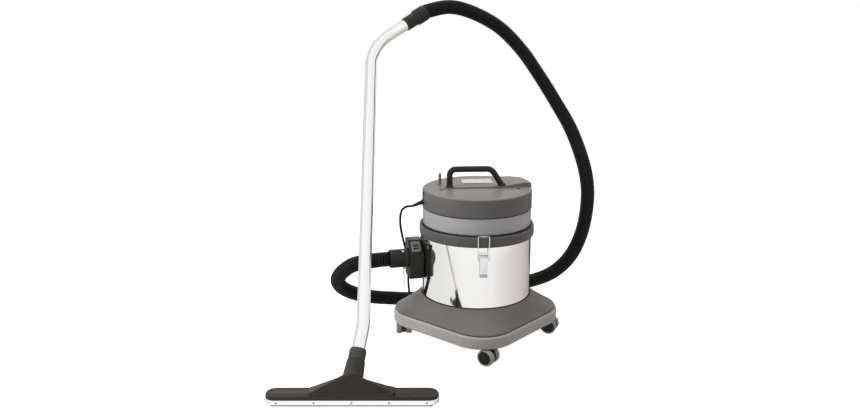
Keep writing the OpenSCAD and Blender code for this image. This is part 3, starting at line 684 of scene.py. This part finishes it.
def base_reach(angle, apothem, corner):
    """Distance from the axis to the edge of a rounded square whose corners point along X and Y."""
    turned = abs(angle % (math.pi / 2) - math.pi / 4)
    flat = apothem - corner
    if apothem * math.tan(turned) <= flat:
        return apothem / math.cos(turned)
    along = flat * (math.cos(turned) + math.sin(turned))
    return along + math.sqrt(along ** 2 - 2 * flat ** 2 + corner ** 2)


def base_loop(name, profile, paint):
    """A closed outline carried round the base. Each point is (inset from the bumper's edge, share
    of the way to a circle, circle's radius, height)."""
    rings = []
    for k in range(ROUND_STEPS * 2):
        angle = math.pi * k / ROUND_STEPS
        ring = []
        for inset, share, circle, height in profile:
            square = base_reach(angle, BUMPER_APOTHEM - inset, BUMPER_CORNER - inset)
            r = (1 - share) * square + share * circle
            ring.append(Vector((r * math.cos(angle), r * math.sin(angle), height)))
        rings.append(ring)
    return loft(name, rings, paint, "vacuum", wrap=True)


def make_base():
    low, high = BUMPER_LOW.z, BUMPER_HIGH.z
    outline = fillet([(0.001, low), (0.0, low + 0.006), (0.0, high - 0.006), (0.0022, high),
                      (0.010, high), (0.010, low)], 0.0035, 4)
    bumper = base_loop("bumper_moulding", [(p[0], 0, 0, p[1]) for p in outline], bumper_plastic())
    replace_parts(bumper, "bumper_band")

    top = SKIRT_HIGH.z
    outer = DRUM_R + 0.0045
    lip = [(0.009, 0, high), (0.0065, 0, high + 0.0006), (0.0052, 0, high + 0.002), (0.0048, 0, high + 0.004),
           (0.0054, 0.01, high + 0.006), (0.007, 0.03, high + 0.008)]
    profile = [(inset, share, outer, z) for inset, share, z in lip]
    steps = 14
    for k in range(1, steps + 1):
        t = k / steps
        rise = t ** 1.12
        z = high + 0.008 + (top - 0.002 - high - 0.008) * rise
        profile.append((0.007, 0.03 + 0.97 * t, outer, z))
    profile += [(0.007, 1, outer - 0.0008, top - 0.0006), (0.007, 1, outer - 0.002, top),
                (0.007, 1, DRUM_R + 0.0012, top - 0.0008), (0.007, 1, DRUM_R + 0.0009, top - 0.006),
                (0.007, 0.5, DRUM_R + 0.001, high + 0.012), (0.012, 0, outer, high)]
    skirt = base_loop("skirt_moulding", profile, skirt_plastic())
    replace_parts(skirt, "base_skirt")
    # a dark seal stands a little proud where the drum meets the skirt
    seam = fillet([(DRUM_R + 0.0002, top - 0.008), (DRUM_R + 0.0010, top - 0.008),
                   (DRUM_R + 0.0010, top - 0.0002), (DRUM_R + 0.0030, top + 0.0002),
                   (DRUM_R + 0.0028, top + 0.0018), (DRUM_R + 0.0002, top + 0.0022)], 0.0003, 2)
    lathe("skirt_drum_seam", seam, rubber(), "vacuum", segments=ROUND_STEPS)


# ---------------------------------------------------------------- head

COVER_FLOOR = 0.458
LID_TOP = 0.466
LID_EDGE = 0.005
STEP_Y = -0.005
DECK_LINE = [(-0.164, 0.466), (-0.110, 0.4675), (0.030, 0.4685), (0.085, 0.471), (0.120, 0.4768),
             (0.145, 0.4808), (0.164, 0.480)]
RECESS_ENDS = (-0.108, 0.120)
RECESS_BULGE = 0.036
RECESS_DEPTH = 0.0022
LID_SCREWS = ((-0.108, -0.028), (0.120, -0.028))


def ease(low, high, value):
    """0 at low, 1 at high, smooth between."""
    t = min(1, max(0, (value - low) / (high - low)))
    return t * t * (3 - 2 * t)


def deck_height(x):
    for (x0, z0), (x1, z1) in zip(DECK_LINE, DECK_LINE[1:]):
        if x <= x1:
            return z0 + (z1 - z0) * ease(x0, x1, x) if x0 > 0.03 else z0 + (z1 - z0) * (x - x0) / (x1 - x0)
    return DECK_LINE[-1][1]


def lid_height(x, y):
    """The cover's top: a raised rear deck, a narrow groove before it, and a shallow crescent."""
    middle = sum(RECESS_ENDS) / 2
    half = (RECESS_ENDS[1] - RECESS_ENDS[0]) / 2
    across = max(0, 1 - ((x - middle) / half) ** 2)
    edge = STEP_Y - 0.020 - RECESS_BULGE * across
    crescent = RECESS_DEPTH * ease(edge, edge + 0.010, y) * ease(0, 0.25, across)
    front = LID_TOP + 0.0012 * ease(-0.16, -0.02, y) - crescent
    groove = 0.0022 * ease(STEP_Y - 0.004, STEP_Y - 0.0018, y) * ease(-0.125, -0.100, x)
    front -= groove
    rise = ease(STEP_Y - 0.0008, STEP_Y + 0.0012, y)
    return front + (deck_height(x) - front) * rise


def make_cover():
    """The cover's top is a disc of rows that follow the step; its edge rolls over into the wall."""
    flat_r = HEAD_R - LID_EDGE
    rows = sorted({round(flat_r * math.sin(math.radians(a)), 6) for a in range(-88, 89, 2)}
                  | {round(STEP_Y + d, 6) for d in (-0.0045, -0.0038, -0.003, -0.0022, -0.0016, -0.0010,
                                                    -0.0005, 0.0, 0.0005, 0.0010, 0.0015, 0.003)})
    columns = 72
    build = bmesh.new()
    grid = []
    for y in rows:
        half = math.sqrt(flat_r ** 2 - y ** 2)
        grid.append([build.verts.new((u, y, lid_height(u, y)))
                     for u in (half * (2 * c / columns - 1) for c in range(columns + 1))])
    for a, b in zip(grid, grid[1:]):
        for c in range(columns):
            build.faces.new((a[c], a[c + 1], b[c + 1], b[c]))
    rim = grid[0] + [row[-1] for row in grid[1:]] + grid[-1][-2::-1] + [row[0] for row in grid[-2:0:-1]]
    low = COVER_LOW.z
    ring = rim
    shape = [(flat_r + LID_EDGE * math.sin(a), -LID_EDGE * (1 - math.cos(a)))
             for a in (math.radians(d) for d in (18, 36, 54, 72, 90))]
    walls = [(radius, drop, None) for radius, drop in shape]
    walls += [(HEAD_R + 0.0004, None, low + 0.006), (HEAD_R + 0.0008, None, low + 0.0015),
              (HEAD_R, None, low), (HEAD_R - 0.004, None, low), (HEAD_R - 0.004, None, COVER_FLOOR)]
    for radius, drop, height in walls:
        fresh = []
        for start in rim:
            flat = Vector((start.co.x, start.co.y)).normalized() * radius
            fresh.append(build.verts.new((flat.x, flat.y, start.co.z + drop if height is None else height)))
        for i in range(len(rim)):
            j = (i + 1) % len(rim)
            build.faces.new((ring[i], ring[j], fresh[j], fresh[i]))
        ring = fresh
    build.faces.new(ring)
    cover = finish_mesh("cover_moulding", build, dark_plastic(), "vacuum", crease=40)
    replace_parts(cover, "head_cover")


def make_ring():
    low, high = RING_LOW.z, RING_HIGH.z
    r = HEAD_R - 0.0012
    outline = fillet([(r - 0.004, low), (r - 0.001, low), (r, low + 0.003), (r, high - 0.0028),
                      (r - 0.0022, high - 0.0024), (r - 0.0022, high), (r - 0.004, high)], 0.0006, 2)
    ring = lathe("ring_moulding", outline, light_plastic(), "vacuum", segments=ROUND_STEPS)
    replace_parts(ring, "head_ring")
    # a dark band on the ring's top step, under the cover's edge: painted shadow
    shadow = [(r - 0.0040, high - 0.0026), (r - 0.0008, high - 0.0026), (r - 0.0008, high - 0.0002),
              (r - 0.0040, high - 0.0002)]
    lathe("ring_step_painted_shadow", shadow, rubber(), "vacuum", segments=ROUND_STEPS)


def make_lid_screws():
    """Countersunk screws, each on a flat black disc: painted shade that stands for the dimple round it."""
    for i, (x, y) in enumerate(LID_SCREWS):
        at = Vector((x, y, lid_height(x, y)))
        # a low black disc instead of a recess: painted shade of the dimple
        dimple_shade = [(0, 0.0002), (0.0048, 0.0002), (0.0056, 0.0007), (0.0064, 0.0004), (0.0066, -0.001),
                (0, -0.001)]
        lathe(f"screw_dimple_painted_shade_{i + 1}", dimple_shade, black_plastic(), "vacuum",
              Matrix.Translation(at), 32)
        head = fillet([(0.0012, 0.0001), (0.0012, 0.0008), (0.0038, 0.0008), (0.0040, 0.0003),
                       (0.0040, 0.0001)], 0.0002, 2)
        screw = lathe(f"lid_screw_{i + 1}", head, dark_screw(), "vacuum",
                      Matrix.Translation(at), 32)
        if i == 0:
            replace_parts(screw, "head_screws")


def dark_screw():
    return material("dark_screw", (0.10, 0.095, 0.09), rough=0.35, metal=1, grain=0.3, mottle=0.1)


HANDLE_R = 0.009
HANDLE_FOOT = mm(-82, 8, 466)
HANDLE_TOP = 0.521
HANDLE_LEFT, HANDLE_RIGHT = -0.082, 0.076


def arc(centre, radius, start, end, steps):
    """Points of an arc in the XZ plane, angles in degrees from +X towards +Z."""
    points = []
    for k in range(steps + 1):
        a = math.radians(start + (end - start) * k / steps)
        points.append(Vector((centre.x + radius * math.cos(a), centre.y, centre.z + radius * math.sin(a))))
    return points


def make_handle():
    """The bar bends over a quarter turn on the left and slopes down on the right."""
    y = HANDLE_FOOT.y
    fall = 57
    slope = math.radians(fall)
    left_bend, right_bend = 0.018, 0.025
    first = arc(Vector((HANDLE_LEFT + left_bend, y, HANDLE_TOP - left_bend)), left_bend, 180, 90, 10)
    turn_x = 0.030
    second = arc(Vector((turn_x, y, HANDLE_TOP - right_bend)), right_bend, 90, 90 - fall, 10)
    down = Vector((math.cos(slope), 0, -math.sin(slope)))
    foot = second[-1] + down * 0.0485
    line = even_steps([HANDLE_FOOT, *first, *second, foot], 0.0025)
    bar = swept("handle_bar", line, lambda s: HANDLE_R, handle_plastic(), "vacuum", sides=32)
    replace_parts(bar, "handle")
    for name, at, flare in (("handle_foot_left", Vector((HANDLE_LEFT, y, 0.4674)), 0.0035),
                            ("handle_foot_right", Vector((HANDLE_RIGHT, y, 0.4700)), 0.0045)):
        profile = [(0.006, 0.0), (HANDLE_R + flare, -0.0002), (HANDLE_R + flare - 0.0004, 0.0022),
                   (HANDLE_R + 0.0010, 0.0045), (HANDLE_R - 0.0004, 0.0075), (0.006, 0.0075)]
        lathe(name, fillet(profile, 0.0008, 3), handle_plastic(), "vacuum",
              Matrix.Translation(at), 40)


def make_peg_and_label():
    peg = fillet([(0, 0.4676), (0.0070, 0.4676), (0.0066, 0.4694), (0.0044, 0.4706), (0.0038, 0.4980),
                  (0.0030, 0.5006), (0, 0.5006)], 0.0008, 3)
    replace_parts(lathe("peg_moulding", peg, dark_plastic(), "vacuum",
                      Matrix.Translation((-0.108, 0.052, 0)), 40), "cable_peg")
    paper = material("label_film", (0.48, 0.465, 0.452), rough=0.32, mottle=0.22, mottle_size=0.012)
    keep_node("label_plate", paper, 0.0002)


GLAND_AROUND = 187
GLAND_TURN = math.radians(GLAND_AROUND)
GLAND_Z = 0.432
GLAND_TILT = 20
GLAND_SLOT_Z = 0.449


def gland_place():
    at = Vector(((HEAD_R - 0.006) * math.cos(GLAND_TURN), (HEAD_R - 0.006) * math.sin(GLAND_TURN), GLAND_Z))
    return placed(at, (GLAND_AROUND, "Z"), (90 + GLAND_TILT, "Y"))


def make_gland():
    """A tapered, ribbed strain relief under a black slot in the head's wall."""
    profile = [(0.0036, 0.0), (0.0088, 0.0), (0.0088, 0.007), (0.0070, 0.0085)]
    ribs = 6
    for k in range(ribs):
        z = 0.010 + k * 0.0046
        r = 0.0068 - 0.0022 * k / (ribs - 1)
        profile += [(r, z), (r - 0.0001, z + 0.0032), (r - 0.0012, z + 0.0034), (r - 0.0012, z + 0.0044)]
    profile += [(0.0042, 0.0385), (0.0036, 0.0395)]
    sleeve = lathe("gland_sleeve", profile, rubber(), "vacuum", gland_place(), 40)
    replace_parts(sleeve, "strain_relief")
    slot_r, slot_turn = HEAD_R - 0.0008, GLAND_TURN + 0.02
    at = Vector((slot_r * math.cos(slot_turn), slot_r * math.sin(slot_turn), GLAND_SLOT_Z))
    place = placed(at, (GLAND_AROUND + 1.15, "Z"), (90, "Y"))
    outline = rounded_rect(0.028, 0.011, 0.0035)
    block("gland_slot", outline, -0.002, 0.0016, 0.0006, black_plastic(), "vacuum", place)


# ---------------------------------------------------------------- inlet

INLET = placed((0, 0, 0.262), (190, "Z"))
INLET_X0 = DRUM_R + 0.0075
INLET_X1 = DRUM_R + 0.049
CUFF_START = INLET_X1 + 0.0002
CUFF_END = CUFF_START + 0.056
CUFF_R = 0.028
SIDEWAYS = Matrix.Rotation(math.pi / 2, 4, "Y")


def ring_grooves(first, last, radius, depth, count):
    """Points of a profile with even shallow grooves between two heights."""
    points = []
    pitch = (last - first) / count
    for k in range(count):
        z = first + k * pitch
        points += [(radius, z), (radius, z + pitch * 0.62), (radius - depth, z + pitch * 0.70),
                   (radius - depth, z + pitch * 0.92)]
    points.append((radius, last))
    return points


def make_inlet():
    paint = black_plastic()
    for name in ("inlet_flange", "inlet_body", "inlet_deflector"):
        keep_node(name, paint, 0.0014 if name == "inlet_body" else 0.0006)
    keep_node("inlet_gasket", rubber(), 0.0003)
    keep_node("inlet_screws", bright_steel(), 0.0004)
    keep_node("inlet_chain", cast_metal(), 0)

    slope = INLET @ placed(((INLET_X0 + INLET_X1) / 2, 0.019, 0.037), (-45, "X"))
    grey = material("key_grey", (0.125, 0.122, 0.12), rough=0.45, grain=0.3, dust_and_top_light=0.1)
    key = block("inlet_key", rounded_rect(0.028, 0.036, 0.005), -0.0055, 0.0026, 0.0012, grey,
                "button", slope)
    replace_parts(key, "inlet_button")
    # a raised surround round two dark finger bars
    outer, inner = rounded_rect(0.0276, 0.0350, 0.0048), rounded_rect(0.0180, 0.0210, 0.0030)
    rings = []
    for outline, z in ((outer, 0.0026), (outer, 0.0034), (inner, 0.0040), (inner, 0.0010)):
        rings.append([slope @ Vector((p.x, p.y + (0.0015 if outline is inner else 0), z)) for p in outline])
    loft("inlet_key_rim", rings, grey, "button", caps=False, crease=25)
    for y in (0.006, -0.003):
        slot = rounded_rect(0.0150, 0.0048, 0.0012)
        block(f"inlet_key_bar_{'high' if y > 0 else 'low'}", slot, 0.0014, 0.0032, 0.0006, rubber(),
              "button", slope @ Matrix.Translation((0, y, 0)))

    profile = [(0.020, DRUM_R - 0.002), (0.0235, DRUM_R - 0.002), (0.0235, CUFF_START),
               (CUFF_R + 0.0006, CUFF_START), (CUFF_R + 0.0015, CUFF_START + 0.001),
               (CUFF_R + 0.0015, CUFF_START + 0.006), (CUFF_R + 0.0002, CUFF_START + 0.0072),
               (CUFF_R - 0.0004, CUFF_START + 0.008), (CUFF_R - 0.0004, CUFF_START + 0.034)]
    profile += ring_grooves(CUFF_START + 0.0345, CUFF_END - 0.004, CUFF_R - 0.0002, 0.0007, 4)
    profile += [(CUFF_R - 0.0008, CUFF_END - 0.001), (CUFF_R - 0.002, CUFF_END), (0.0215, CUFF_END),
                (0.020, CUFF_END - 0.001)]
    cuff = lathe("inlet_cuff_moulding", profile, paint, "vacuum", INLET @ SIDEWAYS, 72)
    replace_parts(cuff, "inlet_cuff")

    eye = INLET @ placed((CUFF_START + 0.012, 0, -CUFF_R - 0.004), (90, "X"))
    profile = fillet([(0.0019, -0.001), (0.004, -0.001), (0.004, 0.001), (0.0019, 0.001)], 0.0003, 2)
    lathe("chain_eye", profile, paint, "vacuum", eye, 32)
    # the screw's domed, slotted head and a thin washer under it
    at = INLET @ placed((CUFF_START + 0.017, 0, 0), (-26, "X"))
    dome = [(r, CUFF_R + rise) for r, rise in (
        (0, -0.004), (0.0017, -0.004), (0.0017, -0.0003), (0.0046, -0.0003), (0.0046, 0.0004),
        (0.0036, 0.0005), (0.0034, 0.0014), (0.0022, 0.0021), (0.0008, 0.0023), (0.0006, 0.0016),
        (0, 0.0016))]
    screw = lathe("cuff_screw_head", dome, bright_steel(), "vacuum", at, 32)
    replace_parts(screw, "cuff_screw")


# ---------------------------------------------------------------- wand and floor tool

WAND_R = 0.018
WAND_FOOT = placed(mm(-354, -398, 128), (-2.9, "Z"), (-41.7, "X"), (-2, "Z"), (9, "Y"))
LOWER_BEND, LOWER_R = 9, 0.120
UPPER_BEND, UPPER_R = 52, 0.144
LEAD_IN, LEAD_OUT = 0.060, 0.070
WAND_LENGTH = 0.847
WAND_IN_CUFF = 0.025


def wand_line():
    """The tube's centreline and the frame at its top, from 30 mm below its foot."""
    place = WAND_FOOT @ Matrix.Translation((0, 0, -0.030))
    points = [place.translation.copy()]
    for straight, bend, radius in ((LEAD_IN + 0.030, -LOWER_BEND, LOWER_R),
                                   (WAND_LENGTH, UPPER_BEND, UPPER_R), (LEAD_OUT, 0, 0)):
        place = place @ Matrix.Translation((0, 0, straight))
        points.append(place.translation.copy())
        steps = max(1, round(abs(bend) / 2))
        for _ in range(steps if bend else 0):
            way = 1 if bend > 0 else -1
            centre = Matrix.Translation((way * radius, 0, 0))
            part = Matrix.Rotation(math.radians(bend / steps), 4, "Y")
            place = place @ centre @ part @ centre.inverted()
            points.append(place.translation.copy())
    return points, place


def make_wand():
    line, top = wand_line()
    line.append(top @ Vector((0, 0, WAND_IN_CUFF)))
    tube = swept("wand_tube", even_steps(line, 0.004), lambda s: WAND_R, chrome(), "vacuum",
                 sides=64)
    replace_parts(tube, "wand")

    bore = WAND_R + 0.0002
    profile = [(bore, -0.0056), (0.0204, -0.0060), (0.0213, -0.0050)]
    profile += ring_grooves(-0.003, 0.014, 0.0214, 0.0008, 3)
    profile += [(0.0214, 0.018), (0.0214, 0.0335), (0.0222, 0.0350), (0.0252, 0.0375), (0.0254, 0.0390)]
    profile += ring_grooves(0.041, 0.052, 0.0254, 0.0008, 2)
    profile += [(0.0254, 0.0735), (0.0246, 0.0760), (HOSE_R + 0.0002, 0.0758), (HOSE_R + 0.0002, 0.0568),
                (bore, 0.0568)]
    cuff = lathe("wand_cuff_moulding", profile, black_plastic(), "vacuum", top, 72)
    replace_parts(cuff, "wand_cuff")


TOOL = placed(mm(-371, -438, 0), (-3.7, "Z"))
TOOL_LENGTH, TOOL_DEPTH = 0.450, 0.056


def stadium(length, depth, inset=0.0, steps=16):
    """A long outline with round ends."""
    r = depth / 2 - inset
    half = length / 2 - depth / 2
    return ([Vector((half + r * math.cos(a), r * math.sin(a)))
             for a in (math.pi * (k / steps - 0.5) for k in range(steps + 1))]
            + [Vector((-half + r * math.cos(a), r * math.sin(a)))
               for a in (math.pi * (k / steps + 0.5) for k in range(steps + 1))])


def make_tool():
    """The plate, its raised centre and socket ride together and turn on the wand."""
    paint = tool_plastic()
    rings = []
    for inset, z in ((0.0040, 0.006), (0.0030, 0.0075), (0.0030, 0.0185), (0.0012, 0.0192), (0.0010, 0.0215),
                     (0.0014, 0.0270), (0.0030, 0.0296), (0.0065, 0.0308), (0.0110, 0.0310)):
        rings.append([TOOL @ Vector((p.x, p.y, z)) for p in stadium(TOOL_LENGTH, TOOL_DEPTH, inset)])
    shell = loft("tool_shell", rings, paint, "floor_tool", crease=28)
    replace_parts(shell, "tool_body")

    # a low rib runs round the shell's top, just inside its edge
    rib = []
    for inset, z in ((0.0105, 0.0306), (0.0108, 0.0318), (0.0122, 0.0318), (0.0125, 0.0306)):
        rib.append([TOOL @ Vector((p.x, p.y, z)) for p in stadium(TOOL_LENGTH, TOOL_DEPTH, inset)])
    loft("tool_rib", rib, paint, "floor_tool", wrap=True)

    make_housing(paint)

    band = material("band_steel", (0.98, 0.98, 0.98), rough=0.12, metal=1, mottle=0.03, mottle_size=0.02,
                    rough_vary=0.06)
    keep_node("tool_band", band, 0.0007)
    keep_node("tool_lips", rubber(), 0.0008)
    keep_node("tool_screws", cast_metal(), 0.0003)


HOUSING_Y = -0.005
HOUSING_LENGTH, HOUSING_DEPTH = 0.222, 0.042


def make_housing(paint):
    """Upright feet, then straight flanks that run up to the round neck."""
    sides = 96
    neck = WAND_FOOT @ Matrix.Translation((0, 0, -0.072))
    neck_r = 0.0268

    def foot(inset, z):
        """The rounded rectangle's outline, one point in each direction of the neck's circle."""
        half_x, half_y, corner = HOUSING_LENGTH / 2 - inset, HOUSING_DEPTH / 2 - inset, 0.008 - inset
        outline = []
        per_corner = sides // 4
        for sx, sy, start in ((1, 1, 0), (-1, 1, 90), (-1, -1, 180), (1, -1, 270)):
            for k in range(per_corner):
                share = k / (per_corner - 1)
                a = math.radians(start + 90 * share)
                outline.append(TOOL @ Vector((sx * (half_x - corner) + corner * math.cos(a),
                                              HOUSING_Y + sy * (half_y - corner) + corner * math.sin(a), z)))
        return outline

    # the neck's circle is spread so that its points meet the corners of the foot
    circle = []
    for start in (0, 90, 180, 270):
        for k in range(sides // 4):
            a = math.radians(start + 90 * k / (sides // 4 - 1))
            circle.append(neck @ Vector((neck_r * math.cos(a), neck_r * math.sin(a), 0)))
    edge = foot(0.0026, 0.0388)
    rings = [foot(0, 0.0190), foot(0, 0.0364), foot(0.0008, 0.0380), edge]
    for share in (0.10, 0.25, 0.42, 0.60, 0.76, 0.88, 0.95, 1.0):
        rings.append([low.lerp(high, share) for low, high in zip(edge, circle)])
    loft("tool_housing", rings, paint, "floor_tool", crease=26)

    socket = [(WAND_R + 0.0003, -0.074), (0.0272, -0.074), (0.0266, -0.068), (0.0240, -0.0305),
              (0.0230, -0.0285), (WAND_R + 0.0003, -0.0285)]
    lathe("tool_socket", fillet(socket, 0.001, 3), paint, "floor_tool", WAND_FOOT, 64)
    make_grip()


def make_grip():
    """The collar's upright ribs, with a plain ring at each end."""
    rings = []
    ribs = 24
    for z, deep in ((-0.0278, 0), (-0.0272, 1), (-0.0240, 1), (-0.0232, 0), (-0.0225, 0), (-0.0215, 1),
                    (-0.0040, 1), (-0.0030, 0), (0.0012, 0), (0.0022, -1)):
        ring = []
        for k in range(ribs * 6):
            a = 2 * math.pi * k / (ribs * 6)
            on_rib = k % 6 < 3
            r = 0.0216 + (0.0008 if on_rib and deep == 1 else 0) - (0.0008 if deep == -1 else 0)
            ring.append(WAND_FOOT @ Vector((r * math.cos(a), r * math.sin(a), z)))
        rings.append(ring)
    inner = []
    for z in (0.0022, -0.0278):
        inner.append([WAND_FOOT @ Vector((0.01808 * math.cos(a), 0.01808 * math.sin(a), z))
                      for a in (2 * math.pi * k / (ribs * 6) for k in range(ribs * 6))])
    grip = loft("tool_grip", rings + inner, rubber_grey(), "floor_tool", wrap=True)
    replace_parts(grip, "tool_neck")


def rubber_grey():
    return material("grip_plastic", (0.022, 0.0215, 0.021), rough=0.36, grain=0.3, dust_and_top_light=0.02)


# ---------------------------------------------------------------- castors

WHEEL_R = 0.025
WHEEL_GAP = 0.014
WHEEL_WIDTH = 0.017
CASTOR_TRAIL = 0.014
SWIVEL_RADIUS = 0.222
CASTORS = (("front", -90, -38), ("right", 0, -28), ("rear", 90, 160), ("left", 180, 90))


def make_castors():
    """Twin light wheels with dark hub discs under a black hood and post."""
    hood_paint, hub_paint, tyre = black_plastic(), hub_plastic(), tyre_rubber()
    for name, around, heading in CASTORS:
        spot = Matrix.Rotation(math.radians(around), 4, "Z") @ Vector((SWIVEL_RADIUS, 0, 0))
        place = placed(spot, (heading, "Z"))
        axle = place @ placed((CASTOR_TRAIL, 0, WHEEL_R))
        first = None
        for side, turn in (("outer", -90), ("inner", 90)):
            wheel = axle @ Matrix.Rotation(math.radians(turn), 4, "X")
            near, far = WHEEL_GAP / 2, WHEEL_GAP / 2 + WHEEL_WIDTH
            rim = [(0.0030, near), (WHEEL_R - 0.0022, near), (WHEEL_R - 0.0004, near + 0.0020),
                   (WHEEL_R, near + 0.0045), (WHEEL_R, far - 0.0045), (WHEEL_R - 0.0008, far - 0.0018),
                   (WHEEL_R - 0.0028, far - 0.0002), (WHEEL_R - 0.0046, far),
                   (WHEEL_R - 0.0054, far - 0.0006), (WHEEL_R - 0.0056, far - 0.0040),
                   (0.0030, far - 0.0040)]
            ring = lathe(f"wheel_{name}_{side}", rim, tyre, f"wheels_{name}", wheel, 72)
            first = first or ring
            hub = [(0.0, far - 0.0042), (WHEEL_R - 0.0060, far - 0.0042), (WHEEL_R - 0.0060, far - 0.0016),
                   (WHEEL_R - 0.0068, far - 0.0009), (WHEEL_R - 0.0110, far - 0.0004),
                   (WHEEL_R - 0.0116, far - 0.0012), (0.0080, far - 0.0012), (0.0074, far - 0.0002),
                   (0.0050, far + 0.0001), (0.0, far + 0.0002)]
            lathe(f"wheel_hub_{name}_{side}", hub, hub_paint, f"wheels_{name}", wheel, 64)
        pin = [(0, -0.0095), (0.0030, -0.0095), (0.0030, 0.0095), (0, 0.0095)]
        lathe(f"wheel_axle_{name}", pin, bright_steel(), f"wheels_{name}",
              axle @ Matrix.Rotation(math.pi / 2, 4, "X"), 24)
        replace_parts(first, f"castor_wheels_{name}")

        half = WHEEL_GAP / 2 - 0.0004
        disc = fillet([(0.0031, -half), (0.0210, -half), (0.0220, -half + 0.0012), (0.0220, half - 0.0012),
                       (0.0210, half), (0.0031, half)], 0.0006, 2)
        hood = lathe(f"castor_cover_{name}", disc, hood_paint, f"castor_{name}",
                     axle @ Matrix.Rotation(math.pi / 2, 4, "X"), 64)
        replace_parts(hood, f"castor_hood_{name}")
        post = [(0.0, 0.034), (0.0060, 0.034), (0.0060, 0.0465), (0.0082, 0.0500), (0.0092, 0.0512),
                (0.0092, 0.0545), (0.0080, 0.0552), (0.0080, 0.0574), (0.0090, 0.0580), (0.0090, 0.0614),
                (0.0055, 0.0617), (0.0055, 0.0860), (0.0, 0.0860)]
        lathe(f"castor_post_{name}", post, hood_paint, f"castor_{name}", place, 40)


def hub_plastic():
    return material("hub_plastic", (0.008, 0.0077, 0.0074), rough=0.34, grain=0.2, specular=0.2)


# ---------------------------------------------------------------- latches and the rest of the frame

KNUCKLE_Z, TIP_Z = 0.292, 0.2475


def make_latches():
    steel = bright_steel()
    for side in ("front", "rear"):
        keep_node(f"latch_bracket_{side}", steel, 0.0004)
        keep_node(f"latch_lever_{side}", steel, 0.0006)
        keep_node(f"latch_bail_{side}", steel, 0)
        turn = Matrix.Identity(4) if side == "front" else Matrix.Rotation(math.pi, 4, "Z")
        # the dark knuckle pin and the folded tip of the lever
        knuckle = [(0.0, -0.0102), (0.0033, -0.0102), (0.0034, -0.0098), (0.0034, 0.0098),
                   (0.0033, 0.0102), (0.0, 0.0102)]
        lathe(f"latch_knuckle_{side}", knuckle, black_plastic(), f"lever_{side}",
              turn @ placed((0, -DRUM_R - 0.0105, KNUCKLE_Z), (90, "Y")), 32)
        block(f"latch_tip_{side}", rounded_rect(0.0215, 0.0075, 0.0012), -0.0004, 0.0032, 0.0005,
              cast_metal(), f"lever_{side}",
              turn @ placed((0, -DRUM_R - 0.0155, TIP_Z), (90, "X")))
    keep_node("latch_rivets", steel, 0.0003)


def make_switch():
    keep_node("switch_bezel", black_plastic(), 0.0006)
    keep_node("rocker_switch", material("rocker_red", (0.42, 0.02, 0.018), rough=0.3, coat=0.3, grain=0.1),
              0.0006)


def dress_hidden_parts():
    """Parts inside the drum and the head, seen when the model is opened up."""
    foam = material("foam_open", (0.22, 0.21, 0.20), rough=0.95, grain=0.9, grain_size=0.002, mottle=0.3,
                    mottle_size=0.003)
    paper = material("filter_pleats", (0.72, 0.70, 0.64), rough=0.85, grain=0.5, grain_size=0.001,
                     mottle=0.08, mottle_size=0.01, streak=0.4)
    white = material("float_white", (0.78, 0.78, 0.76), rough=0.4, grain=0.2, mottle=0.04)
    for names, paint in ((("motor_plate", "fan_housing", "base_plate", "float_cage"), black_plastic()),
                         (("motor_can", "impeller"), cast_metal()), (("motor_shaft",), bright_steel()),
                         (("motor_seal",), rubber()), (("acoustic_foam",), foam), (("filter",), paper),
                         (("float_ball",), white)):
        for name in names:
            keep_node(name, paint, 0.0005)


# ---------------------------------------------------------------- scene

make_camera()
make_studio()
make_hose()
make_lead()
make_drum()
make_rim()
make_base()
make_cover()
make_ring()
make_lid_screws()
make_handle()
make_peg_and_label()
make_gland()
make_inlet()
make_wand()
make_tool()
make_castors()
make_latches()
make_switch()
dress_hidden_parts()
